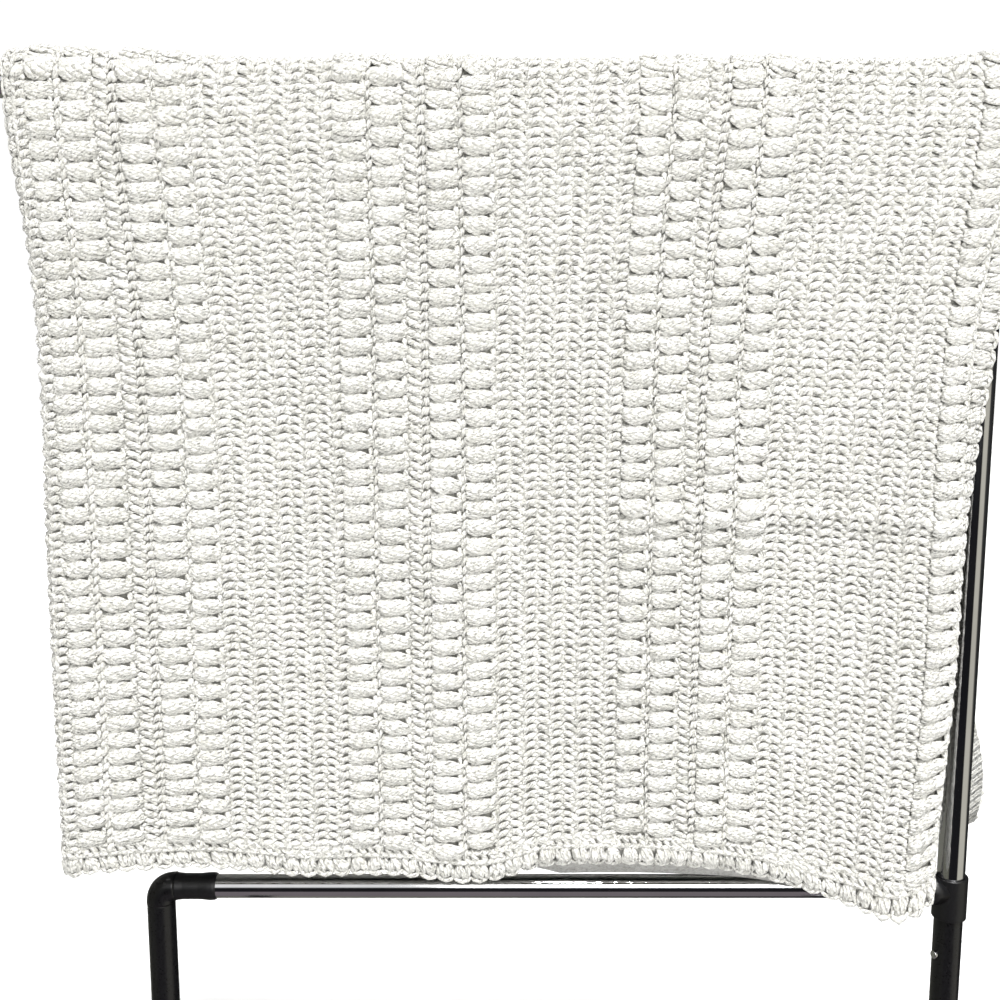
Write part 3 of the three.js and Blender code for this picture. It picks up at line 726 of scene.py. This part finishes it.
def base_sheet(pit_shade_material, wrong_side_shade_material, hem_shade_material):
    """The cloth that the stitches sit in: a closed thin sheet, a grid in u and w for its right side and the
    same grid for its wrong side, joined round the edge. Both sides take darker copies of the yarn, painted
    shade:
    the right side for the pits between the stitches, the wrong side for its own face. Its first row, along
    the front hem, shows a little below the border's cells in places and has its own material, the darkest,
    painted shade under the hem."""
    across = round(WIDTH / BASE_CELL) + 1
    length = round(LENGTH / BASE_CELL) + 1
    u = np.linspace(BASE_INSET, WIDTH - BASE_INSET, across)
    w = np.linspace(BASE_INSET, LENGTH - BASE_INSET, length)
    grid_w, grid_u = np.meshgrid(w, u, indexing="ij")
    rise = smooth((u - HEM_UNDER["from"]) / HEM_UNDER["rise"])
    grid_w[0] -= HEM_UNDER["reach"] * rise * smooth((HEM_UNDER["to"] - u) / HEM_UNDER["fall"])
    layers = [np.stack([grid_u, grid_w, np.full(grid_u.shape, h)], -1) for h in (BASE_OUT, BASE_IN)]
    points = np.concatenate([layer.reshape(-1, 3) for layer in layers])
    j, i = np.meshgrid(np.arange(length - 1), np.arange(across - 1), indexing="ij")
    a = (j * across + i).ravel()
    layer = across * length
    right = np.stack([a, a + 1, a + across + 1, a + across], -1)
    wrong = layer + right[:, ::-1]
    left_edge = np.arange(length - 1) * across
    right_edge = left_edge + across - 1
    front_hem = np.arange(across - 1)
    back_hem = (length - 1) * across + front_hem
    walls = np.concatenate([
        np.stack([left_edge, left_edge + across, layer + left_edge + across, layer + left_edge], -1),
        np.stack([right_edge, layer + right_edge, layer + right_edge + across, right_edge + across], -1),
        np.stack([front_hem, layer + front_hem, layer + front_hem + 1, front_hem + 1], -1),
        np.stack([back_hem, back_hem + 1, layer + back_hem + 1, layer + back_hem], -1),
    ])
    quads = np.concatenate([right, wrong, walls])
    material_index = np.ones(len(quads))
    # Painted shade: the sheet's right side takes the darker pit yarn
    material_index[:len(right)] = 0
    # Painted shade: the first row along the front hem takes the darkest yarn, for the shade under the hem
    material_index[:across - 1] = 2
    uvs = points[quads.ravel()][:, :2]
    none = np.zeros((0, 3), int)
    materials = [pit_shade_material, wrong_side_shade_material, hem_shade_material]
    return mesh_piece(
        "afghan_cloth", on_cloth(points), quads, none, uvs, materials, material_index
    )


# Materials

def plug(tree, socket, value):
    """Links another node's output to an input, or sets the input to a number or a colour."""
    if isinstance(value, bpy.types.NodeSocket):
        tree.links.new(value, socket)
    else:
        socket.default_value = (*value, 1) if isinstance(value, tuple) else value


def fill(tree, node, settings):
    """Sets a node's inputs and properties by name: a name with a capital is an input."""
    for key, value in settings.items():
        if key[0].isupper():
            plug(tree, node.inputs[key.replace("_", " ")], value)
        else:
            setattr(node, key, value)


def add(tree, kind, **settings):
    """Adds a node with its inputs and properties."""
    node = tree.nodes.new(kind)
    fill(tree, node, settings)
    return node


def new_material(name, **settings):
    """A material of one shader with the inputs named."""
    material = bpy.data.materials.new(name)
    material.use_nodes = True
    shader = material.node_tree.nodes["Principled BSDF"]
    fill(material.node_tree, shader, settings)
    return material, material.node_tree, shader


def noise(tree, scale, detail, roughness=0.5):
    """Noise on the object's own coordinates."""
    node = add(tree, "ShaderNodeTexNoise", Scale=scale, Detail=detail, Roughness=roughness)
    plug(tree, node.inputs["Vector"], add(tree, "ShaderNodeTexCoord").outputs["Object"])
    return node.outputs["Fac"]


def ranged(tree, value, **settings):
    """A value mapped from one range to another."""
    return add(tree, "ShaderNodeMapRange", Value=value, **settings).outputs["Result"]


def ramp(tree, source, stops):
    """A colour ramp on a value, from one stop of (place, colour) to another."""
    node = add(tree, "ShaderNodeValToRGB", Fac=source)
    for element, (place, colour) in zip(node.color_ramp.elements, stops):
        element.position = place
        element.color = (*colour, 1)
    return node.outputs["Color"]


def mixed(tree, factor, a, b, blend="MIX"):
    """Mixes two colours by a factor."""
    node = add(tree, "ShaderNodeMix", data_type="RGBA", blend_type=blend, Factor=factor)
    plug(tree, node.inputs[6], a)
    plug(tree, node.inputs[7], b)
    return node.outputs[2]


def bumped(tree, height, strength, distance, normal=None):
    """A bump from a height, on top of another bump."""
    node = add(tree, "ShaderNodeBump", Height=height, Strength=strength, Distance=distance)
    if normal is not None:
        plug(tree, node.inputs["Normal"], normal)
    return node.outputs["Normal"]


def calculated(tree, operation, *values):
    """The result of one operation on a few values."""
    node = add(tree, "ShaderNodeMath", operation=operation)
    for socket, value in zip(node.inputs, values):
        plug(tree, socket, value)
    return node.outputs["Value"]


def wave(tree, first, first_share, second=0.0, second_share=0.0):
    """The sine of one value times its share plus another value times its own share."""
    scaled = calculated(tree, "MULTIPLY", first, first_share)
    return calculated(tree, "SINE", calculated(tree, "MULTIPLY_ADD", second, second_share, scaled))


def yarn_material(name, light, dark, surface):
    """Cream plied yarn: soft patches of tone, a crumpled bump with painted shade in its hollows, fine
    fibres and a little sheen. With the surface "plies" its bump is also a helix on a strand, whose UV is
    its length and turn.
    With "rows" it is rows of stitches on the cloth, whose UV is its flat place. "plain" has neither."""
    material, tree, shader = new_material(
        name, Roughness=0.92, Sheen_Weight=0.25, Sheen_Roughness=0.5, Specular_IOR_Level=0.25
    )
    tone = ramp(tree, noise(tree, 38.0, 3.0, 0.6), [(0.3, dark), (0.68, light)])
    crumple = noise(tree, 250.0, 3.0, 0.6)
    # Painted shade: the colour darkens where the crumple bump is low, as shade in its hollows
    painted_hollow_shade = ramp(tree, crumple, [(0.28, (0.66, 0.655, 0.62)), (0.52, (1.0, 1.0, 1.0))])
    plug(tree, shader.inputs["Base Color"], mixed(tree, 1.0, tone, painted_hollow_shade, "MULTIPLY"))
    normal = bumped(tree, crumple, 1.0, 0.0042)
    normal = bumped(tree, noise(tree, 1100.0, 2.0, 0.7), 0.5, 0.0007, normal)
    if surface != "plain":
        uv = add(tree, "ShaderNodeUVMap", uv_map="UVMap")
        split = add(tree, "ShaderNodeSeparateXYZ", Vector=uv.outputs["UV"])
        x, y = split.outputs["X"], split.outputs["Y"]
        if surface == "plies":
            height = wave(tree, x, 2 * math.pi / PLY_LENGTH, y, 2 * math.pi * PLIES)
        else:
            height = wave(tree, y, 2 * math.pi / STITCH, wave(tree, x, math.pi / PLAIN_ROW), ROW_SLANT)
        normal = bumped(tree, height, 0.9, RELIEF[surface], normal)
    plug(tree, shader.inputs["Normal"], normal)
    return material


def metal_material():
    """Bright chrome plate with faint smears in its gloss."""
    material, tree, shader = new_material("chrome_plate", Metallic=1.0)
    smears = noise(tree, 14.0, 4.0)
    colour = ramp(tree, smears, [(0.3, (0.62, 0.62, 0.63)), (0.7, (0.72, 0.72, 0.73))])
    plug(tree, shader.inputs["Base Color"], colour)
    plug(tree, shader.inputs["Roughness"], ranged(tree, smears, To_Min=0.05, To_Max=0.14))
    return material


def black_material(name, roughness, grain, depth):
    """Near-black surface with a fine grain: paint, moulded plastic or rubber by its roughness and grain."""
    material, tree, shader = new_material(name)
    grains = noise(tree, grain, 2.0)
    colour = ramp(tree, grains, [(0.35, (0.002, 0.002, 0.0025)), (0.7, (0.005, 0.005, 0.006))])
    rough = ranged(tree, grains, To_Min=roughness - 0.08, To_Max=roughness + 0.08)
    plug(tree, shader.inputs["Base Color"], colour)
    plug(tree, shader.inputs["Roughness"], rough)
    plug(tree, shader.inputs["Normal"], bumped(tree, grains, 0.3, depth))
    return material


yarn = yarn_material("cream_yarn", (0.80, 0.79, 0.75), (0.70, 0.69, 0.64), "plies")
# Painted shade: a darker copy of the cream yarn for the sheet's right side, seen only in the pits between
# stitches
pit_shade_yarn = yarn_material("yarn_painted_pit_shade", (0.56, 0.55, 0.50), (0.42, 0.41, 0.37), "plain")
# Painted shade: the darkest copy of the yarn, for the sheet's first row under the hem's roll
hem_shade_yarn = yarn_material("yarn_painted_hem_shade", (0.36, 0.355, 0.335), (0.27, 0.265, 0.245), "plain")
# Painted shade: the wrong side's yarn is a darker copy of the cream yarn
wrong_side_shade_yarn = yarn_material("painted_shade_wrong_side_yarn", (0.64, 0.64, 0.60), (0.50, 0.49, 0.45), "rows")
chrome = metal_material()
paint = black_material("black_powder_coat", 0.30, 420.0, 0.0002)
plastic = black_material("black_moulded_plastic", 0.42, 700.0, 0.00015)
rubber = black_material("black_rubber", 0.75, 500.0, 0.0003)
RACK_LOOKS = {"chrome_tube": chrome, "black_paint": paint, "black_plastic": plastic, "black_rubber": rubber}

# Afghan

cloth = base_sheet(pit_shade_yarn, wrong_side_shade_yarn, hem_shade_yarn)
for group, first in enumerate((0, 4, 8, 12)):
    parts = []
    for column in range(first, min(first + 4, len(COLUMNS))):
        left, right = COLUMNS[column]
        parts += puffs(left, right, STAGGER[column], LOW + 1, BACK_FROM, FINE_STRANDS, 6, 5)
        parts += puffs(left, right, STAGGER[column], BACK_FROM, HIGH - 2, BACK_STRANDS, 4, 4)
    stitched(f"puffs_{'abcd'[group]}", parts, yarn)
for part, (rows, row) in enumerate(PLAIN_PARTS):
    start = COLUMNS[4 * part + 3][1]
    parts = plain_rows(start, row, rows, ROW_PHASE[part], CLIMB[part], LOW, BACK_FROM, True)
    parts += plain_rows(start, row, rows, ROW_PHASE[part], CLIMB[part], BACK_FROM, HIGH, False)
    stitched(f"plain_{'abc'[part]}", parts, yarn)
parts = []
for low, high, fine in ((LOW, BACK_FROM, True), (BACK_FROM, HIGH, False)):
    for first in (0, 4, 8):
        a, b, c, d = COLUMNS[first:first + 4]
        parts += ladder(b[1], c[0], STAGGER[first + 1], low, high, fine)
        parts += chain(a[1], b[0], 2 * STAGGER[first], low, high, fine)
        parts += chain(c[1], d[0], 2 * STAGGER[first + 2], low, high, fine)
stitched("ladders_and_chains", parts, yarn)
parts = border("front_hem", 0, WIDTH, CELL_INNER["hem"]) + border("back_hem", 0, WIDTH, CELL_INNER["hem"])
parts += border("left", BORDER, LENGTH - BORDER, CELL_INNER["left"])
parts += border("right", BORDER, LENGTH - BORDER, CELL_INNER["right"])
parts += plain_rows(COLUMNS[0][0] - PLAIN_ROW, PLAIN_ROW, 1, 2 * STAGGER[0], 0, LOW, HIGH, True)
stitched("border", parts, yarn)
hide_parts("afghan")

# Rack

def rounded(profile, r):
    """A profile of (distance, radius) with each inner corner cut to the middle of a small quadratic curve,
    and a point close by on each side that keeps the shading of the flats flat."""
    p = np.array(profile, float)
    out = [p[0]]
    for before, corner, after in zip(p[:-2], p[1:-1], p[2:]):
        back = (before - corner) / np.linalg.norm(before - corner)
        on = (after - corner) / np.linalg.norm(after - corner)
        shorter = min(np.linalg.norm(before - corner), np.linalg.norm(after - corner))
        cut = min(r, CUT_SHARE * shorter)
        a, b = corner + back * cut, corner + on * cut
        out += [a + back * cut * 0.5, a, (a + 2 * corner + b) / 4, b, b + on * cut * 0.5]
    return np.array(out + [p[-1]])


def loft(rings):
    """Points, quads and triangles of a closed skin over rings of equal count, with a fan over each end."""
    points = np.concatenate([rings.reshape(-1, 3), [rings[0].mean(0), rings[-1].mean(0)]])
    return points, *tube_faces(*rings.shape[:2])[:2]


def turned(profile, axis, x=0.0, z=0.0, r=0.6):
    """Rings of a profile of (distance, radius) turned about the Z axis or the X axis."""
    profile = rounded(profile, r)
    along_axis = np.broadcast_to(profile[:, :1], (len(profile), ROUND))
    a = profile[:, 1:] * np.cos(AROUND)
    b = profile[:, 1:] * np.sin(AROUND)
    if axis == "z":
        return np.stack([x + a, b, z + along_axis], -1)
    return np.stack([x + along_axis, a, z + b], -1)


def rack_piece(node, skins, slot):
    """One node's look from the closed skins of its rings, in place of the solid."""
    points, quads, triangles = joined([loft(rings) for rings in skins])
    piece = mesh_piece(node + "_look", points * MM, quads, triangles, None, [RACK_LOOKS[slot]])
    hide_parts(node)


def rod(node, slot, low, high, r, axis, **place):
    """A plain round bar with flat ends, from low to high along its axis."""
    profile = [(low, 0), (low, r), (high, r), (high, 0)]
    rack_piece(node, [turned(profile, axis, **place)], slot)


def cup(web_in, web_out, mouth, bore, outer):
    """Profile of a cup: its web lies between two places on the axis, and its wall ends at the mouth."""
    return [(web_in, 0), (web_in, bore), (mouth, bore), (mouth, outer), (web_out, outer), (web_out, 0)]


def post_joint(node, x, has_socket):
    """Sleeve with a socket at each end and a web between them; the right one also has a side socket that
    meets the sleeve in a saddle."""
    inner_top, inner_low = UPRIGHT_R + GAP, POST_R + GAP
    sleeve = [
        (JOINT_WEB_BOTTOM + GAP, 0), (JOINT_WEB_BOTTOM + GAP, inner_low), (JOINT_BOTTOM, inner_low),
        (JOINT_BOTTOM, JOINT_R), (JOINT_TOP, JOINT_R), (JOINT_TOP, inner_top),
        (JOINT_WEB_TOP - GAP, inner_top), (JOINT_WEB_TOP - GAP, 0),
    ]
    skins = [turned(sleeve, "z", x)]
    if has_socket:
        bore = BAR_R + GAP
        seat = x - BAR_END_INSET + GAP
        mouth = x - SOCKET_REACH
        rings = []
        for at, r, z in (
            (seat, 0.5, BAR_Z), (seat, bore, BAR_Z), (mouth + 1, bore, BAR_Z), (mouth, bore + 0.4, BAR_Z),
            (mouth, SOCKET_R - 0.8, SOCKET_Z), (mouth + 0.3, SOCKET_R - 0.2, SOCKET_Z),
            (mouth + 1, SOCKET_R, SOCKET_Z),
        ):
            rings.append(np.stack([np.full(ROUND, at), r * np.cos(AROUND), z + r * np.sin(AROUND)], -1))
        for r, depth in SADDLE_RINGS:
            y = r * np.cos(AROUND)
            saddle = x - np.sqrt((JOINT_R - SADDLE_SUNK) ** 2 - np.minimum(np.abs(y), SOCKET_R) ** 2)
            rings.append(np.stack([saddle + depth, y, SOCKET_Z + r * np.sin(AROUND)], -1))
        skins.append(np.array(rings))
    rack_piece(node, skins, "black_plastic")


def rail_joint(node, x):
    """Collar over the upright's top and a neck that ends in a saddle under the rail."""
    top = RAIL_Z - NECK_TOP_DROP
    bottom = RAIL_Z - COLLAR_DROP
    socket = UPRIGHT_R + GAP
    profile = [
        (bottom + COLLAR_DEPTH + GAP, 0), (bottom + COLLAR_DEPTH + GAP, socket), (bottom, socket),
        (bottom, COLLAR_R), (top, COLLAR_R), (top, NECK_R), (top + 4, NECK_R),
    ]
    rings = list(turned(profile, "z", x))
    for r in (NECK_R, NECK_R - 0.4, 8.0, 4.0, 0.5):
        y = r * np.sin(AROUND)
        z = RAIL_Z - np.sqrt((RAIL_R + GAP) ** 2 - y ** 2)
        rings.append(np.stack([x + r * np.cos(AROUND), y, z], -1))
    rack_piece(node, [np.array(rings)], "black_plastic")


def rail_cap(node, side):
    """Cap over an end of the rail: a cup turned about the rail."""
    mouth = RAIL_HALF - CAP_LENGTH + CAP_WALL
    profile = cup(RAIL_HALF + GAP, RAIL_HALF + CAP_WALL, mouth, RAIL_R + GAP, CAP_R)
    rings = turned(profile, "x", z=RAIL_Z, r=1.2)
    if side < 0:
        rings = (rings * (-1, 1, 1))[:, ::-1]
    rack_piece(node, [rings], "black_plastic")


def bent_tube(node):
    """Bent top of the short leg: rings carried along a quadratic curve from upright to level."""
    t = np.linspace(0, 1, 17)[:, None]
    start = np.array([SHORT_LEG_X, 0, BAR_Z - BEND_R])
    corner = np.array([SHORT_LEG_X, 0, BAR_Z])
    end = np.array([SHORT_LEG_X + BEND_R, 0, BAR_Z])
    path = (1 - t) ** 2 * start + 2 * t * (1 - t) * corner + t ** 2 * end
    tangent = 2 * (1 - t) * (corner - start) + 2 * t * (end - corner)
    tangent /= np.linalg.norm(tangent, axis=-1, keepdims=True)
    level = np.array([0.0, 1.0, 0.0])
    other = np.cross(tangent, level)
    ring = np.cos(AROUND)[:, None] * other[:, None, :] + np.sin(AROUND)[:, None] * level
    rack_piece(node, [path[:, None, :] + BEND_TUBE_R * ring], "black_paint")


def foot_section(width, height, corner, bottom):
    """Section of a foot bar or its cap as a closed loop (x, z), with small edges below and round above."""
    w = width / 2
    edge = FOOT_EDGE
    turn = np.linspace(0, math.pi / 2, 9)
    corners = (
        (w - corner, height - corner, corner, 0.0),
        (corner - w, height - corner, corner, math.pi / 2),
        (edge - w, edge, edge, math.pi),
        (w - edge, edge, edge, 1.5 * math.pi),
    )
    x = np.concatenate([cx + r * np.cos(turn + a) for cx, cz, r, a in corners])
    z = np.concatenate([cz + r * np.sin(turn + a) for cx, cz, r, a in corners])
    return np.stack([x, z + bottom], -1)


def foot_piece(node, x, low, high, section, slot):
    """A section carried along Y from low to high, its two ends drawn in by a small round edge."""
    centre = section.mean(0)
    rings = []
    from_low = [(low + step, inset) for step, inset in FOOT_END_STEPS]
    to_high = [(high - step, inset) for step, inset in reversed(FOOT_END_STEPS)]
    for at, inset in from_low + to_high:
        away = section - centre
        scale = 1 - inset / np.abs(away).max(0)
        ring = centre + away * scale
        rings.append(np.stack([x + ring[:, 0], np.full(len(ring), at), ring[:, 1]], -1))
    rack_piece(node, [np.array(rings)[:, ::-1]], slot)


def screw(node, x):
    """Head of the screw that locks a post, turned a little towards the viewer."""
    head = [
        (0, 0), (0, SCREW_R), (SCREW_LENGTH - 1, SCREW_R), (SCREW_LENGTH, SCREW_R - 1.4), (SCREW_LENGTH, 0),
    ]
    rings = turned(head, "x", x=POST_R + GAP, r=0.4)
    turn = math.pi + math.pi / 8
    px = rings[..., 0] * math.cos(turn) - rings[..., 1] * math.sin(turn)
    py = rings[..., 0] * math.sin(turn) + rings[..., 1] * math.cos(turn)
    rack_piece(node, [np.stack([x + px, py, SCREW_Z + rings[..., 2]], -1)], "chrome_tube")


rod("top_rail", "chrome_tube", -RAIL_HALF, RAIL_HALF, RAIL_R, "x", z=RAIL_Z)
for side, sign in (("left", -1), ("right", 1)):
    x = sign * UPRIGHT_X
    rail_cap(f"rail_cap_{side}", sign)
    rail_joint(f"rail_joint_{side}", x)
    upright_top = RAIL_Z - COLLAR_DROP + COLLAR_DEPTH
    rod(f"upright_{side}", "chrome_tube", JOINT_WEB_TOP, upright_top, UPRIGHT_R, "z", x=x)
    post_joint(f"post_joint_{side}", x, sign > 0)
    rod(f"post_{side}", "black_paint", POST_BOTTOM, JOINT_WEB_BOTTOM, POST_R, "z", x=x)
    screw(f"post_screw_{side}", x)
rod("short_leg", "black_paint", POST_BOTTOM, BAR_Z - BEND_R - GAP, POST_R, "z", x=SHORT_LEG_X)
bent_tube("short_leg_bend")
web = SLEEVE_LENGTH - SLEEVE_LENGTH * SLEEVE_SOCKET_SHARE
sleeve = [
    (0, 0), (0, SLEEVE_LIP_R), (9, SLEEVE_NECK_R), (26, SLEEVE_NECK_R), (36, SLEEVE_LIP_R),
    (41, SLEEVE_LIP_R), (SLEEVE_LENGTH, SLEEVE_NECK_R), (SLEEVE_LENGTH, BAR_R + GAP),
    (web, BAR_R + GAP), (web, 0),
]
sleeve_x = SHORT_LEG_X + BEND_R + GAP
rack_piece("bar_sleeve", [turned(sleeve, "x", x=sleeve_x, z=BAR_Z, r=0.5)], "black_plastic")
rod("lower_bar", "chrome_tube", sleeve_x + GAP + web, UPRIGHT_X - BAR_END_INSET, BAR_R, "x", z=BAR_Z)
foot_loop = foot_section(FOOT_WIDTH, FOOT_HEIGHT, FOOT_CORNER, FOOT_LIFT)
cap_loop = foot_section(FOOT_CAP_WIDTH, FOOT_CAP_HEIGHT, FOOT_CORNER + 3, 0)
for name, x in (("left", -UPRIGHT_X), ("short", SHORT_LEG_X), ("right", UPRIGHT_X)):
    foot_piece(f"foot_{name}", x, -FOOT_HALF, FOOT_HALF, foot_loop, "black_paint")
    near = FOOT_HALF + GAP
    far = near + FOOT_CAP_LENGTH
    foot_piece(f"foot_cap_{name}_front", x, -far, -near, cap_loop, "black_rubber")
    foot_piece(f"foot_cap_{name}_back", x, near, far, cap_loop, "black_rubber")
    bottom = FOOT_LIFT + FOOT_HEIGHT + GAP
    profile = cup(bottom + FOOT_SOCKET_WALL, bottom, FOOT_SOCKET_TOP, POST_R + GAP, FOOT_SOCKET_R)[::-1]
    rack_piece(f"foot_socket_{name}", [turned(profile, "z", x, r=1.0)], "black_plastic")

# Floor, light and camera

floor_corners = [(x * FLOOR_HALF, y * FLOOR_HALF, 0) for x, y in ((-1, -1), (1, -1), (1, 1), (-1, 1))]
floor_mesh = bpy.data.meshes.new("floor")
floor_mesh.from_pydata(floor_corners, [], [(0, 1, 2, 3)])
floor = placed("floor", floor_mesh)
floor_mesh.materials.append(new_material("pale_floor", Roughness=0.9, Base_Color=(0.9, 0.9, 0.9))[0])
floor.visible_glossy = False


def step_mix(tree, value, low, high, before, after):
    """Mixes two colours by a value that rises from low to high."""
    rise = ranged(tree, value, interpolation_type="SMOOTHSTEP", From_Min=low, From_Max=high)
    return mixed(tree, rise, before, after)


world = bpy.data.worlds.new("studio")
bpy.context.scene.world = world
world.use_nodes = True
sky = world.node_tree
direction = add(sky, "ShaderNodeTexCoord").outputs["Generated"]
split = add(sky, "ShaderNodeSeparateXYZ", Vector=direction)
ahead = None
for axis, low, high, before, after in ROOM_AHEAD:
    ahead = step_mix(sky, split.outputs[axis], low, high, before or ahead, after or ahead)
axis, low, high, before, after = ROOM_BEHIND
behind = step_mix(sky, split.outputs[axis], low, high, before, after)
room = step_mix(sky, split.outputs["Y"], -ROOM_SPLIT, ROOM_SPLIT, ahead, behind)
ray = sky.nodes.new("ShaderNodeLightPath")
soft = mixed(sky, ray.outputs["Is Glossy Ray"], (SOFT_LIGHT,) * 3, room)
seen = mixed(sky, ray.outputs["Is Camera Ray"], soft, (SEEN_WHITE,) * 3)
fill(sky, sky.nodes["Background"], {"Color": seen, "Strength": 1.0})


def area_light(name, place, target, size, power):
    """A square soft light that faces its target."""
    data = bpy.data.lights.new(name, "AREA")
    data.size = size
    data.energy = power
    lamp = placed(name, data)
    lamp.location = place
    direction = np.array(target) - np.array(place)
    lamp.rotation_euler = (
        math.atan2(math.hypot(direction[0], direction[1]), -direction[2]),
        0,
        math.atan2(direction[1], direction[0]) - math.pi / 2,
    )
    return lamp


sun_data = bpy.data.lights.new("high_key", "SUN")
sun_data.energy = SUN["power"]
sun_data.angle = math.radians(SUN["angle"])
sun = placed("high_key", sun_data)
sun.rotation_euler = (math.radians(SUN["down"]), math.radians(SUN["turn"]), 0)
area_light("front_fill", **FRONT_FILL)
corner_fill = area_light("corner_fill", **CORNER_FILL)
corner_fill.visible_glossy = False

camera_data = bpy.data.cameras.new("camera")
camera_data.sensor_width = SENSOR
camera_data.lens = SENSOR * FOCAL_PIXELS / PICTURE_PIXELS
camera = placed("camera", camera_data)
camera.location = CAMERA_PLACE
camera.rotation_euler = (math.pi / 2 - CAMERA_DOWN, 0, 0)
bpy.context.scene.camera = camera
bpy.context.scene.view_settings.view_transform = "Standard"
